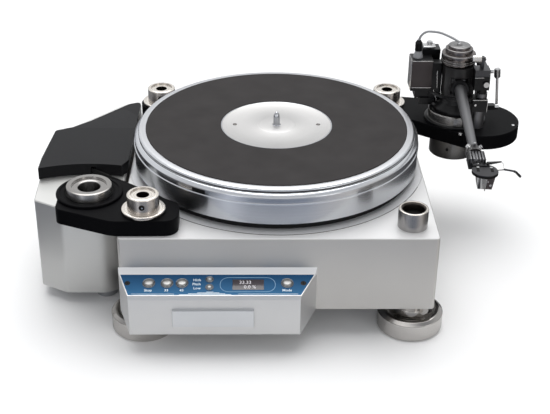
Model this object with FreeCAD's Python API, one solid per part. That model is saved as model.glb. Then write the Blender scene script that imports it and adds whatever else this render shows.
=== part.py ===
import FreeCAD, Part
import math
import os

V = FreeCAD.Vector
UP = V(0, 0, 1)

# Frame: millimetres, +Z up, origin on the platter's axis at the top face of the mat.
# The front of the turntable looks along -Y.

# Clearances
fixed_gap = 0.02    # a wheel pressed on its shaft
run_gap = 0.05      # a turning fit, on the radius
slip_gap = 0.1      # a sliding fit
seam_gap = 0.3      # pieces that meet with a visible seam
face_gap = 0.4      # faces that pass over each other
hub_clear = 3.217   # between the platter's lip and the rear hubs

# Platter
platter_r = 158.0
lip_proud = 0.5
record_hole_r = 3.6
mat_r = platter_r - 13.0
mat_thick = 2.5
mat_seat = -mat_thick
label_r = 62.0
label_drop = 0.6
land_top = -1.0
land_edge = -2.6
land_r = platter_r - 4.5
groove_z = -3.5
groove_deep = 1.6
bevel_top = -5.3
bevel_bottom = -8.8
lip_top = -15.1
lip_bottom = -16.8
rim_bottom = -38.4
track_r = platter_r - 5.0
rim_wall = 16.0
web_bottom = -20.0
hub_r = 36.0
label_screw_x = 46.4

# Heights
floor_z = -165.0
chassis_top = -46.5
chassis_bottom = -131.5
base_proud = 0.2
board_thick = 16.8
board_bottom = chassis_top + base_proud + seam_gap
board_top = board_bottom + board_thick
rim_foot = chassis_top + base_proud + face_gap

# Clamp hubs and corner posts, set out from the platter's lip
hub_flange_r = 22.4
hub_flange_thick = 3.6
hub_body_r = 16.3
hub_high = 16.0
hub_seat = board_top + seam_gap
hub_top = hub_seat + hub_flange_thick + hub_high
hub_rim_r = 12.7
hub_rim_deep = 1.6
hub_bore_r = 6.4
hub_screw_r = 1.9
spacer_r = 24.5
post_x = platter_r - 21.0
lip_r = platter_r + lip_proud
rear_post_y = math.sqrt((lip_r + hub_flange_r + hub_clear) ** 2 - post_x ** 2)
front_post_out = 41.35
front_post_y = -math.sqrt((lip_r + front_post_out) ** 2 - post_x ** 2)
post_r = 15.4
post_top = -25.7
post_recess_r = 11.1
post_recess_deep = 9.0
post_stud_r = 6.0
post_stud_len = 22.0

# Chassis and base plate
chassis_half_x = platter_r + 4.5
chassis_front = front_post_y - 27.0
chassis_rear = rear_post_y + 27.5
chassis_corner = 4.0
chassis_edge = 1.0
chassis_wall = 9.0
chassis_roof = 14.0
corner_block = 46.0
bottom_thick = 4.0
base_r = chassis_half_x + 2.5
base_margin = 2.0
base_thick = 6.0
web_z = chassis_top - base_thick
cavity_top = chassis_top - chassis_roof
socket_places = (-70.0, -38.0)
socket_z = -105.0
socket_r = 8.0
socket_deep = 12.0
wire_slot_z = -112.0

# Spindle and bearing
shaft_r = 12.0
shaft_len = 66.0
shaft_flange_r = 28.0
shaft_flange_thick = 6.0
spindle_top = 15.0
spindle_foot_r = 4.6
spindle_foot_top = -label_drop - 0.2
spindle_seat = -8.0
spindle_root = 14.0
sleeve_r = 22.0
sleeve_flange_r = 44.0
sleeve_floor = 4.0
thrust_thick = 3.0
thrust_r = 8.0

# Motor unit and cover, beside the chassis
unit_gap = 3.5
unit_right = -chassis_half_x - unit_gap
unit_wide = 94.0
unit_front = -110.0
unit_rear = 161.0
unit_bottom = -152.0
unit_wall = 4.0
motor_foot_r = 12.0
cover_front = -50.0
cover_top = -33.0
cover_wall = 2.5
cover_arc_r = 146.8
cover_arc_at = V(-204.2, -181.3, 0)
cover_overhang = 2.0
cover_flange = 3.0
hood_crease_y = 58.0
hood_rear_z = -38.0

# Belt drive
pulley_at = V(unit_right - 46.0, -10.0, 0)
pulley_r = 12.5
pulley_flange_r = 14.0
belt_thick = 0.8
belt_high = 6.3
belt_room = 2.0          # free space round the belt where it leaves the cover
belt_bottom = rim_foot + 0.9
pulley_bottom = chassis_top + 0.6
pulley_top = belt_bottom + belt_high + 1.6
motor_r = 19.0
motor_high = 58.0
motor_top = chassis_top - unit_wall
motor_shaft_r = 3.0
shaft_deep = 12.0

# Left armboard and its collar, set out from the front left post
collar_at = V(-post_x - 59.0, front_post_y + 36.5, 0)
collar_disc_r = 34.5
collar_disc_thick = 2.8
collar_r = 23.6
collar_top = -19.0
collar_recess_r = 18.3
collar_recess_deep = 2.2
collar_bore_r = 11.5

# Right armboard and tonearm base, set out from the rear right post
arm_at = V(post_x + 77.5, rear_post_y - 41.0, 0)
board_disc_at = arm_at + V(26.5, -4.0, 0)
board_disc_r = 49.0
board_hub_r = 24.0
under_collar_r = 27.0
under_collar_bottom = -72.8
base_bore_r = 14.0
base_disc_r = 36.0
base_disc_thick = 3.0
ring_r = base_disc_r - 4.0
ring_top = -16.0
pillar_r = 19.0
pillar_top = -1.0
pillar_foot = 7.0
pillar_bore_r = 6.0

# Bearing yoke and cap
yoke_half = 17.5
yoke_r = 20.5
yoke_top = 40.0
tube_room = 10.0
cap_r = 19.7
cap_bottom = 41.0
cap_shoulder = 56.0
cap_top = 61.0
cap_top_r = 12.7
cap_step_r = 15.8
lift_pin_r = 2.0

# Arm tube, weight, headshell and cartridge
arm_turn = 4.2          # degrees that the parked tube leans to the platter
tube_z = 18.5
tube_root_r = 6.75
tube_tip_r = 4.5
tube_start = 24.0
tube_len = 165.0
tip_y = arm_at.y - tube_start - tube_len
clamp_back = 6.0
clamp_small_r = 5.6
clamp_r = 8.2
clamp_long = 16.0
fin_r = 7.1
fin_count = 5
fin_pitch = 3.1
fin_thick = 1.8
fin_start = 11.0
fin_long = 18.0
fin_low = 5.0
fin_high = 6.2
coupling_long = 30.0
weight_r = 17.0
weight_rod_r = 4.5
weight_y = arm_at.y + 34.0
weight_long = 21.2
shell_r = 13.0
shell_half = 1.5        # half the headshell plate's thickness
shell_y = tip_y - coupling_long - 14.0
shell_out = 6.5         # the headshell sits to the right of the tube's axis
cartridge_high = 13.4
stylus_z = 2.6

# Lead terminal box, its plug and the lead over the cap
lead_x0 = arm_at.x - 54.5
lead_x1 = lead_x0 + 25.0
lead_y0 = arm_at.y + 6.0
lead_y1 = lead_y0 + 24.0
lead_z0 = 2.0
lead_z1 = 40.0
plug_at = V(lead_x0 + 8.0, lead_y0 + 12.0, 0)
lead_r = 1.3
knob_at = V(lead_x1 - 1.0, lead_y1 + 8.0, 0)

# Height column, bridge and their knobs
column_out = 21.5
column_x = arm_at.x + column_out
column_y = arm_at.y - 25.0
column_half = 8.7
column_low = -7.0
column_waist = 8.0
column_head = 20.0
column_top = 36.0
bridge_thick = 8.0
bridge_low = -3.5
knob_stem_r = 1.6
height_knob_y = column_y + 3.0
height_knob_z = 54.0
height_knob_r = 4.2
height_knob_long = 10.0
height_knob_x = column_x - column_half - 3.2
lock_knob_y = column_y + 2.0
lock_knob_z = 40.0

# Cue lift and lever
cue_rod_r = 2.0
cue_arc_r = base_disc_r - 0.5
cue_angle = math.radians(-75)
cue_rod_at = V(arm_at.x + cue_arc_r * math.cos(cue_angle), arm_at.y + cue_arc_r * math.sin(cue_angle), 0)
cue_travel = 3.0
cue_bar_thick = 2.4
cue_bar_top = tube_z - tube_root_r - 0.9
cue_low = cue_bar_top - cue_bar_thick - cue_travel - face_gap
lever_x = arm_at.x + 48.5
lever_y = arm_at.y - 2.0
lever_z = -14.0
lever_bar_half = 2.7
lever_pin_r = 1.5
lever_len = 37.0
lever_lean = 0.085      # sideways lean of the stem, per unit of height

# Console, across the left of the chassis front
console_left = -chassis_half_x - 0.5
console_right = console_left + 202.0
console_left_front = console_left + 12.0
console_right_front = console_right - 17.5
console_back_z = -80.0
console_slope_y = chassis_front - 3.0
console_slope_z = -86.0
console_lip_y = chassis_front - 30.2
console_lip_z = -94.4
console_face_y = chassis_front - 31.5
console_face_top = -101.7
console_face_bottom = -141.4
console_wall = 3.0
wire_slot_x = console_left + 103.0
panel_thick = 1.5
panel_margin = 1.0
shelf_thick = 2.2
panel_deep = panel_thick + shelf_thick
board_depth = 9.0
plate_x0 = console_left + 55.5
plate_x1 = plate_x0 + 82.3
plate_z0 = -129.6
plate_z1 = -110.0
plate_proud = 3.0

# Buttons, panel screws and window: places across the console, and down its slope
round_buttons = [("button_stop", console_left + 32.0), ("button_slow", console_left + 50.3),
                 ("button_fast", console_left + 65.4), ("button_mode", console_left + 171.3)]
button_s = 12.4
button_r = 5.25
button_ring_r = 6.5
button_ring_proud = 0.5
button_proud = 1.6
button_travel = 1.0
button_flange = 1.2
small_buttons = [("button_trim_up", 7.5), ("button_trim_down", 17.7)]
small_button_x = console_left + 93.0
small_button_r = 3.0
switch_gap = 0.5
switch_r = 2.0
switch_high = board_depth - panel_deep - face_gap - button_flange - button_travel - switch_gap
panel_screw_places = [(console_left + 10.4, 12.1), (console_left + 187.6, 12.2)]
panel_screw_r = 1.4
window_x0 = console_left + 116.1
window_x1 = window_x0 + 31.7
window_s0 = 7.2
window_s1 = 21.0

# Feet, set in from the chassis corners
front_foot_x = chassis_half_x - 21.9
front_foot_y = chassis_front + 21.5
rear_foot_x = chassis_half_x - 36.5
rear_foot_y = chassis_rear - 29.5
foot_r = 34.6
foot_top = -145.6
foot_chamfer = 2.6
foot_cap_top = -142.4
foot_stem_r = 15.0
foot_stud_r = 6.0
foot_stud_len = 24.0


def cylinder(r, z0, z1, at=V(0, 0, 0)):
    """Upright cylinder between two heights."""
    return Part.makeCylinder(r, z1 - z0, V(at.x, at.y, z0))


def ring(r_out, r_in, z0, z1, at=V(0, 0, 0)):
    """Upright tube between two heights."""
    return cylinder(r_out, z0, z1, at).cut(cylinder(r_in, z0 - 1, z1 + 1, at))


def block(x0, x1, y0, y1, z0, z1):
    """Box between two corners."""
    return Part.makeBox(x1 - x0, y1 - y0, z1 - z0, V(x0, y0, z0))


def turned(points, at=V(0, 0, 0)):
    """Solid of revolution about the upright axis, from (radius, height) points."""
    wire = Part.makePolygon([V(at.x + r, at.y, z) for r, z in points + points[:1]])
    return Part.Face(wire).revolve(at, UP, 360)


def rod(start, direction, r, length):
    """Round rod from a point along a direction."""
    return Part.makeCylinder(r, length, start, direction)


def rounded_face(corners):
    """Flat face through (x, y, radius) corners, each rounded by its radius."""
    edges = []
    ends = []
    count = len(corners)
    for i in range(count):
        x, y, r = corners[i]
        here = V(x, y, 0)
        before = V(*corners[i - 1][:2], 0) - here
        after = V(*corners[(i + 1) % count][:2], 0) - here
        before.normalize()
        after.normalize()
        if r <= 0:
            ends.append((here, None, here))
            continue
        half = before.getAngle(after) / 2
        reach = r / math.tan(half)
        middle = before + after
        middle.normalize()
        centre = here + middle * (r / math.sin(half))
        ends.append((here + before * reach, centre - middle * r, here + after * reach))
    for i in range(count):
        first, mid, last = ends[i]
        if mid is not None:
            edges.append(Part.Arc(first, mid, last).toShape())
        following = ends[(i + 1) % count][0]
        if (following - last).Length > 0.001:
            edges.append(Part.makeLine(last, following))
    return Part.Face(Part.Wire(edges))


def slab(face, z0, z1):
    """Upright slab of a flat face between two heights."""
    lifted = face.copy()
    lifted.translate(V(0, 0, z0))
    return lifted.extrude(V(0, 0, z1 - z0))


def two_circle_face(c1, r1, c2, r2):
    """Face round two circles and their outer tangents, like an open belt."""
    along = c2 - c1
    base = math.atan2(along.y, along.x)
    lean = math.acos((r1 - r2) / along.Length)

    def on(c, r, angle):
        return V(c.x + r * math.cos(angle), c.y + r * math.sin(angle), 0)

    a1 = on(c1, r1, base + lean)
    a2 = on(c1, r1, base - lean)
    b1 = on(c2, r2, base + lean)
    b2 = on(c2, r2, base - lean)
    edges = [Part.Arc(a1, on(c1, r1, base + math.pi), a2).toShape(),
             Part.makeLine(a2, b2),
             Part.Arc(b2, on(c2, r2, base), b1).toShape(),
             Part.makeLine(b1, a1)]
    return Part.Face(Part.Wire(edges))


def soften(shape, size, picked):
    """Chamfer the edges that the test picks."""
    chosen = [e for e in shape.Edges if picked(e)]
    return shape.makeChamfer(size, chosen) if chosen else shape


def level_edges(z):
    """Test for edges that lie at one height."""
    def test(e):
        box = e.BoundBox
        return abs(box.ZMin - z) < 0.01 and abs(box.ZMax - z) < 0.01
    return test


def post_places():
    """Corner name and centre of each post."""
    places = []
    for side, sx in (("left", -1), ("right", 1)):
        places.append(("front_" + side, V(sx * post_x, front_post_y, 0)))
        places.append(("rear_" + side, V(sx * post_x, rear_post_y, 0)))
    return places


def foot_places():
    """Corner name and centre of each foot."""
    places = []
    for side, sx in (("left", -1), ("right", 1)):
        places.append(("front_" + side, V(sx * front_foot_x, front_foot_y, 0)))
        places.append(("rear_" + side, V(sx * rear_foot_x, rear_foot_y, 0)))
    return places


# Chassis
def chassis_cavity(gap):
    """Hollow under the roof, clear of the four solid corners."""
    inner_x = chassis_half_x - chassis_wall - gap
    room = block(-inner_x, inner_x, chassis_front + chassis_wall + gap,
                 chassis_rear - chassis_wall - gap, chassis_bottom, cavity_top)
    side = corner_block + gap
    for sx in (-1, 1):
        x0 = chassis_half_x - side if sx > 0 else -chassis_half_x
        for y0 in (chassis_front, chassis_rear - side):
            room = room.cut(block(x0, x0 + side, y0, y0 + side, chassis_bottom - 1, cavity_top + 1))
    return room


def base_shape(gap, z0, z1):
    """Base plate disc, cut flat where it would reach over a chassis edge."""
    disc = cylinder(base_r + gap, z0, z1)
    side = chassis_half_x - base_margin + gap
    front = chassis_front + base_margin - gap
    rear = chassis_rear - base_margin + gap
    return disc.common(block(-side, side, front, rear, z0, z1))


def make_chassis():
    c = chassis_corner
    face = rounded_face([(-chassis_half_x, chassis_front, c), (chassis_half_x, chassis_front, c),
                         (chassis_half_x, chassis_rear, c), (-chassis_half_x, chassis_rear, c)])
    body = slab(face, chassis_bottom, chassis_top)
    body = soften(body, chassis_edge, level_edges(chassis_top))
    body = soften(body, chassis_edge / 2, level_edges(chassis_bottom))
    body = body.cut(chassis_cavity(0))
    body = body.cut(base_shape(seam_gap, web_z, chassis_top + 1))
    body = body.cut(cylinder(sleeve_r + seam_gap, cavity_top - 1, web_z + 1))
    for _, at in post_places():
        hole_z = chassis_top - post_stud_len - 1
        body = body.cut(cylinder(post_stud_r + slip_gap, hole_z, chassis_top + 1, at))
    for _, at in foot_places():
        hole_top = chassis_bottom + foot_stud_len + 1
        body = body.cut(cylinder(foot_stud_r + run_gap, chassis_bottom - 1, hole_top, at))
    for x in socket_places:
        body = body.cut(rod(V(x, chassis_rear + 1, socket_z), V(0, -1, 0), socket_r + slip_gap,
                            chassis_wall + 2))
    wires = block(wire_slot_x - 12, wire_slot_x + 12, chassis_front - 1,
                  chassis_front + chassis_wall + 1, wire_slot_z - 5, wire_slot_z + 5)
    return body.cut(wires)


def make_bottom_plate():
    plate = chassis_cavity(seam_gap)
    cut_z = chassis_bottom + bottom_thick
    reach = chassis_half_x + 100
    return plate.common(block(-reach, reach, -reach, reach, chassis_bottom, cut_z))


def make_base_plate():
    plate = base_shape(0, web_z, chassis_top + base_proud)
    return plate.cut(cylinder(sleeve_flange_r + slip_gap, web_z - 1, chassis_top + 1))


def make_socket(x, y, z, depth):
    """Round multi-pin inlet in a rear wall, its face looking along +Y."""
    flange_thick = 1.5
    shell = rod(V(x, y, z), V(0, 1, 0), socket_r + 3, flange_thick)
    shell = shell.fuse(rod(V(x, y - depth, z), V(0, 1, 0), socket_r, depth))
    shell = shell.cut(rod(V(x, y - depth + 2, z), V(0, 1, 0), socket_r - 1.5, depth + 5))
    for i in range(4):
        turn = math.radians(45 + 90 * i)
        at = V(x + 3.4 * math.cos(turn), y - depth + 1, z + 3.4 * math.sin(turn))
        shell = shell.fuse(rod(at, V(0, 1, 0), 0.8, depth - 3))
    return shell


# Main bearing
def bearing_levels():
    """Heights of the bearing's faces, from the top down."""
    flange_top = chassis_top + base_proud
    shaft_flange_bottom = flange_top + face_gap
    shaft_end = shaft_flange_bottom - shaft_len
    thrust_top = shaft_end - run_gap
    sleeve_inner_floor = thrust_top - thrust_thick
    return flange_top, shaft_flange_bottom, shaft_end, thrust_top, sleeve_inner_floor


def make_bearing_sleeve():
    """Flanged sleeve with a thrust pad left in its closed lower end."""
    flange_top, _, _, thrust_top, inner_floor = bearing_levels()
    body = cylinder(sleeve_r, inner_floor - sleeve_floor, web_z)
    body = body.fuse(cylinder(sleeve_flange_r, web_z, flange_top))
    body = body.cut(cylinder(shaft_r + run_gap, inner_floor, flange_top + 1))
    return body.fuse(cylinder(thrust_r, inner_floor, thrust_top))


def make_bearing_shaft():
    _, flange_bottom, shaft_end, _, _ = bearing_levels()
    flange_top = flange_bottom + shaft_flange_thick
    body = turned([(0, shaft_end), (shaft_r - 1, shaft_end), (shaft_r, shaft_end + 1),
                   (shaft_r, flange_bottom), (shaft_flange_r, flange_bottom),
                   (shaft_flange_r, flange_top), (shaft_r, flange_top),
                   (shaft_r, spindle_seat), (0, spindle_seat)])
    return body.cut(cylinder(record_hole_r + slip_gap, spindle_seat - spindle_root, spindle_seat + 1))


def make_spindle():
    foot_top = spindle_foot_top
    tip = spindle_top - 6
    return turned([(0, spindle_seat - spindle_root + 1), (record_hole_r, spindle_seat - spindle_root + 1),
                   (record_hole_r, spindle_seat), (spindle_foot_r, spindle_seat),
                   (spindle_foot_r, foot_top - 0.5), (spindle_foot_r - 0.5, foot_top),
                   (record_hole_r, foot_top), (record_hole_r, tip),
                   (record_hole_r - 0.7, tip + 2.6), (1.5, spindle_top - 1), (0, spindle_top)])


# Platter
def make_platter():
    inner = track_r - rim_wall
    _, flange_bottom, _, _, _ = bearing_levels()
    flange_top = flange_bottom + shaft_flange_thick
    neck = land_r + 0.5
    body = turned([(shaft_r + run_gap, mat_seat - 1.0), (shaft_r + run_gap, flange_top),
                   (hub_r, flange_top), (hub_r, web_bottom), (inner, web_bottom), (inner, rim_foot),
                   (track_r, rim_foot), (track_r, rim_bottom), (platter_r, rim_bottom),
                   (platter_r, lip_bottom), (lip_r, lip_bottom), (lip_r, lip_top),
                   (platter_r - 0.3, lip_top), (platter_r - 0.3, bevel_bottom), (neck, bevel_top),
                   (neck - groove_deep, bevel_top), (neck - groove_deep, groove_z),
                   (land_r, groove_z), (land_r, land_edge), (land_r - 1.6, land_top),
                   (mat_r + slip_gap, land_top), (mat_r + slip_gap, mat_seat),
                   (spindle_foot_r + slip_gap, mat_seat), (spindle_foot_r + slip_gap, mat_seat - 1.0)])
    for sx in (-1, 1):
        body = body.cut(cylinder(1.2 + run_gap, web_bottom + 4, 0, V(sx * label_screw_x, 0, 0)))
    return body


def make_platter_mat():
    return ring(mat_r, label_r + seam_gap, mat_seat, 0)


def make_label_disc():
    disc = ring(label_r, spindle_foot_r + slip_gap, mat_seat, -label_drop)
    for sx in (-1, 1):
        disc = disc.cut(cylinder(2.5, mat_seat - 1, 0, V(sx * label_screw_x, 0, 0)))
    return disc


def make_label_screws():
    solids = []
    for sx in (-1, 1):
        at = V(sx * label_screw_x, 0, 0)
        screw = cylinder(2.3, mat_seat, -label_drop - 0.1, at)
        screw = screw.fuse(cylinder(1.2, web_bottom + 8, mat_seat, at))
        solids.append(screw.cut(cylinder(0.9, -label_drop - 1.1, 0, at)))
    return Part.makeCompound(solids)


# Belt drive
def make_belt():
    belt_top = belt_bottom + belt_high
    outer = two_circle_face(V(0, 0, 0), track_r + seam_gap + belt_thick,
                            pulley_at, pulley_r + seam_gap + belt_thick)
    inner = two_circle_face(V(0, 0, 0), track_r + seam_gap, pulley_at, pulley_r + seam_gap)
    return slab(outer, belt_bottom, belt_top).cut(slab(inner, belt_bottom - 1, belt_top + 1))


def make_pulley():
    belt_top = belt_bottom + belt_high
    flange_z = belt_bottom - 0.3
    body = turned([(0, pulley_bottom), (pulley_flange_r, pulley_bottom), (pulley_flange_r, flange_z - 0.1),
                   (pulley_r, flange_z), (pulley_r, belt_top + 0.3), (pulley_flange_r, belt_top + 0.5),
                   (pulley_flange_r, pulley_top), (0, pulley_top)], pulley_at)
    return body.cut(cylinder(motor_shaft_r + fixed_gap, pulley_bottom - 1, pulley_top + 1, pulley_at))


def make_motor_shaft():
    return cylinder(motor_shaft_r, motor_top - shaft_deep, pulley_top - 0.5, pulley_at)


def make_motor():
    body = cylinder(motor_r, motor_top - motor_high, motor_top, pulley_at)
    body = soften(body, 1.2, level_edges(motor_top - motor_high))
    hole_z = motor_top - shaft_deep - seam_gap
    return body.cut(cylinder(motor_shaft_r + run_gap, hole_z, motor_top + 1, pulley_at))


# Motor unit
def unit_face(inset):
    """Plan outline of the motor unit, drawn in by an inset."""
    d = inset
    left = unit_right - unit_wide
    return rounded_face([(left + 2 + d, unit_front + 17 + d * 0.4, 6),
                         (left + 32 + d * 0.4, unit_front + d, 10),
                         (unit_right - d, unit_front + d, 25 - d),
                         (unit_right - d, unit_rear - d * 1.2, 4),
                         (unit_right - 19 + d * 0.4, unit_rear - 4 - d, 8),
                         (left + 10 + d, unit_rear - 81 - d * 0.3, 14),
                         (left + d, unit_front + 70, 60)])


def make_motor_housing():
    body = slab(unit_face(0), unit_bottom, chassis_top)
    body = soften(body, chassis_edge, level_edges(chassis_top))
    room = slab(unit_face(unit_wall), unit_bottom - 1, motor_top)
    body = body.cut(room)
    return body.cut(cylinder(motor_shaft_r + 3, motor_top - 1, chassis_top + 1, pulley_at))


def motor_foot_places():
    left = unit_right - unit_wide
    return [V(left + 20, unit_front + 40, 0), V(unit_right - 22, unit_front + 22, 0),
            V(left + 24, unit_rear - 99, 0), V(unit_right - 18, unit_rear - 29, 0)]


def make_motor_base():
    """Cover plate under the motor unit with its four hidden feet."""
    plate = slab(unit_face(unit_wall + seam_gap), unit_bottom, unit_bottom + bottom_thick)
    feet = []
    for at in motor_foot_places():
        feet.append(turned([(0, floor_z), (motor_foot_r - 1.5, floor_z), (motor_foot_r, floor_z + 1.5),
                            (motor_foot_r, unit_bottom), (0, unit_bottom)], at))
    return plate.fuse(feet)


def cover_face(inset):
    """Plan outline of the belt cover's hood: a wide notch behind the left collar at its front."""
    d = inset
    left = unit_right - unit_wide - seam_gap
    right = unit_right + cover_overhang
    face = rounded_face([(left + d, cover_front, 1), (unit_right - 5 - d, cover_front, 1),
                         (unit_right - 5 - d, cover_front + 10, 1), (right - d, cover_front + 25, 2),
                         (right - d, cover_front + 146, 3),
                         (unit_right - 17 + d * 0.3, unit_rear - 40 - d, 6),
                         (left + 23.3 + d * 0.6, hood_crease_y + 2 - d, 4),
                         (left + 4.8 + d, hood_crease_y - 7.5, 5), (left + d, cover_front + 30, 30)])
    notch = Part.Face(Part.Wire(Part.makeCircle(cover_arc_r + d, cover_arc_at)))
    return face.cut(notch)


def flange_face():
    """Plan outline of the low flange behind the hood, over the rear of the motor unit."""
    left = unit_right - unit_wide + 4.5
    front = hood_crease_y - 8
    return rounded_face([(left, front, 1), (unit_right, front, 1), (unit_right, unit_rear - 4.5, 4),
                         (unit_right - 14, unit_rear - 11, 8), (left, hood_crease_y + 1.5, 6)])


def make_motor_cover():
    low = chassis_top + run_gap
    hood = slab(cover_face(0), low, cover_top)
    slope_end = unit_rear - 21
    slope = Part.Face(Part.makePolygon([V(0, hood_crease_y, cover_top), V(0, slope_end, hood_rear_z),
                                        V(0, slope_end, cover_top + 5), V(0, hood_crease_y, cover_top + 5),
                                        V(0, hood_crease_y, cover_top)]))
    slope.translate(V(unit_right - unit_wide - 10, 0, 0))
    above = slope.extrude(V(unit_wide + 36, 0, 0))
    body = hood.cut(above).fuse(slab(flange_face(), low, low + cover_flange))
    above.translate(V(0, 0, -cover_wall))
    room = slab(cover_face(cover_wall), low - 1, cover_top - cover_wall).cut(above)
    body = body.cut(room)
    outer = two_circle_face(V(0, 0, 0), track_r + belt_room, pulley_at, pulley_r + belt_room)
    inner = two_circle_face(V(0, 0, 0), track_r - belt_room, pulley_at, pulley_r - belt_room)
    return body.cut(slab(outer.cut(inner), low - 1, belt_bottom + belt_high + belt_room))


# Posts and clamp hubs
def make_post(at):
    body = cylinder(post_r, chassis_top, post_top, at)
    body = soften(body, 0.6, level_edges(post_top))
    body = body.cut(cylinder(post_recess_r, post_top - post_recess_deep, post_top + 1, at))
    return body.fuse(cylinder(post_stud_r, chassis_top - post_stud_len, chassis_top, at))


def make_hub(at):
    flange_top = hub_seat + hub_flange_thick
    body = turned([(hub_bore_r, hub_seat), (hub_flange_r - 0.6, hub_seat), (hub_flange_r, hub_seat + 0.6),
                   (hub_flange_r, flange_top - 0.6), (hub_flange_r - 0.6, flange_top),
                   (hub_body_r, flange_top), (hub_body_r, hub_top - 1), (hub_body_r - 1, hub_top),
                   (hub_rim_r, hub_top), (hub_rim_r, hub_top - hub_rim_deep),
                   (hub_bore_r, hub_top - hub_rim_deep)], at)
    body = body.cut(cylinder(post_r + slip_gap, hub_seat - 1, post_top + slip_gap, at))
    spigot = ring(post_recess_r - slip_gap, hub_bore_r, post_top - 6, post_top + slip_gap, at)
    body = body.fuse(spigot)
    return body.cut(rod(hub_screw_at(at, 0), V(0, 1, 0), hub_screw_r + slip_gap, hub_body_r))


def hub_screw_at(at, depth):
    """Point on a hub's front, level with its set screw."""
    return V(at.x, at.y - hub_body_r + depth, hub_seat + hub_flange_thick + hub_high * 0.5)


def make_spacer(at):
    return ring(spacer_r, post_r + slip_gap, chassis_top + base_proud, board_top, at)


# Left armboard
def make_left_armboard():
    post = V(-post_x, front_post_y, 0)
    right = post.x + 35.5
    left = collar_at.x - 31.5
    face = rounded_face([(left, post.y + 3.5, 9), (post.x - 31, post.y - 22.8, 30), (right, post.y - 22, 14),
                         (right, post.y + 14.5, 14), (collar_at.x + 24, collar_at.y + 32, 22),
                         (collar_at.x - 20, collar_at.y + 32, 16), (left, collar_at.y + 14, 14)])
    body = slab(face, board_bottom, board_top)
    body = soften(body, 0.6, level_edges(board_top))
    body = body.cut(cylinder(post_r + run_gap, board_bottom - 1, board_top + 1, post))
    return body.cut(cylinder(collar_r - 4 + slip_gap, board_bottom - 1, board_top + 1, collar_at))


def make_collar_disc():
    top = board_top + collar_disc_thick
    return turned([(collar_r + slip_gap, board_top), (collar_disc_r, board_top), (collar_disc_r, top - 0.8),
                   (collar_disc_r - 0.8, top), (31.0, top), (31.0, top - 0.8), (26.5, top - 0.8),
                   (25.4, top - 2.0), (collar_r + slip_gap, top - 2.0)], collar_at)


def make_collar():
    floor = collar_top - collar_recess_deep
    return turned([(collar_bore_r, board_bottom), (collar_r - 4, board_bottom), (collar_r - 4, board_top),
                   (collar_r, board_top), (collar_r, collar_top - 0.6), (collar_r - 0.6, collar_top),
                   (collar_recess_r, collar_top), (collar_recess_r, floor), (collar_bore_r + 0.8, floor),
                   (collar_bore_r, floor - 0.8)], collar_at)


# Right armboard
def make_right_armboard():
    post = V(post_x, rear_post_y, 0)
    face = two_circle_face(board_disc_at, board_disc_r, post, board_hub_r)
    body = slab(face, board_bottom, board_top)
    body = soften(body, 0.6, level_edges(board_top))
    body = body.cut(cylinder(post_r + run_gap, board_bottom - 1, board_top + 1, post))
    body = body.cut(cylinder(under_collar_r - 5 + slip_gap, board_bottom - 1, board_top + 1, arm_at))
    for at, r, length in board_pin_places():
        body = body.cut(cylinder(r + slip_gap, board_top - length, board_top + 1, at))
    return body


def board_pin_places():
    """Centre, radius and depth of the pin and screw in the right armboard's top."""
    return [(board_disc_at + V(39.5, -18, 0), 1.6, 6), (arm_at + V(-0.5, -46, 0), 2.0, 6)]


def make_board_pins():
    solids = []
    for at, r, length in board_pin_places():
        pin = cylinder(r, board_top - length, board_top + 0.6, at)
        solids.append(pin.fuse(cylinder(r + 0.5, board_top, board_top + 0.6, at)))
    return Part.makeCompound(solids)


def make_arm_base():
    """Arm base: stepped disc and ring above the board, clamp collar below it."""
    disc_top = board_top + base_disc_thick
    neck = under_collar_r - 5
    body = turned([(base_bore_r, under_collar_bottom), (under_collar_r - 0.8, under_collar_bottom),
                   (under_collar_r, under_collar_bottom + 0.8), (under_collar_r, board_bottom - 0.8),
                   (under_collar_r - 0.8, board_bottom), (neck, board_bottom), (neck, board_top),
                   (base_disc_r, board_top), (base_disc_r, disc_top - 0.8), (base_disc_r - 0.8, disc_top),
                   (ring_r, disc_top), (ring_r, ring_top - 1.2), (ring_r - 1.2, ring_top),
                   (ring_r - 5, ring_top), (ring_r - 5, ring_top - 1), (base_bore_r, ring_top - 1)], arm_at)
    screw_hole = rod(V(arm_at.x - 10, arm_at.y - under_collar_r - 2, -60), V(0, 1, 0), 1.6, 10)
    return body.cut(screw_hole)


def make_arm_pillar():
    foot_z = ring_top - 1
    return turned([(pillar_bore_r + run_gap, foot_z), (pillar_r + pillar_foot, foot_z),
                   (pillar_r + pillar_foot, foot_z + 4), (pillar_r, foot_z + 4 + pillar_foot),
                   (pillar_r, pillar_top - 1), (pillar_r - 1, pillar_top),
                   (pillar_bore_r + run_gap, pillar_top)], arm_at)


def clear_of_pillar(shape):
    """Cut a bracket back to the pillar and its wider foot."""
    wide_top = ring_top + 3 + pillar_foot
    shape = shape.cut(cylinder(pillar_r + slip_gap, board_top, pillar_top, arm_at))
    return shape.cut(cylinder(pillar_r + pillar_foot + slip_gap, board_top, wide_top + slip_gap, arm_at))


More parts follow.
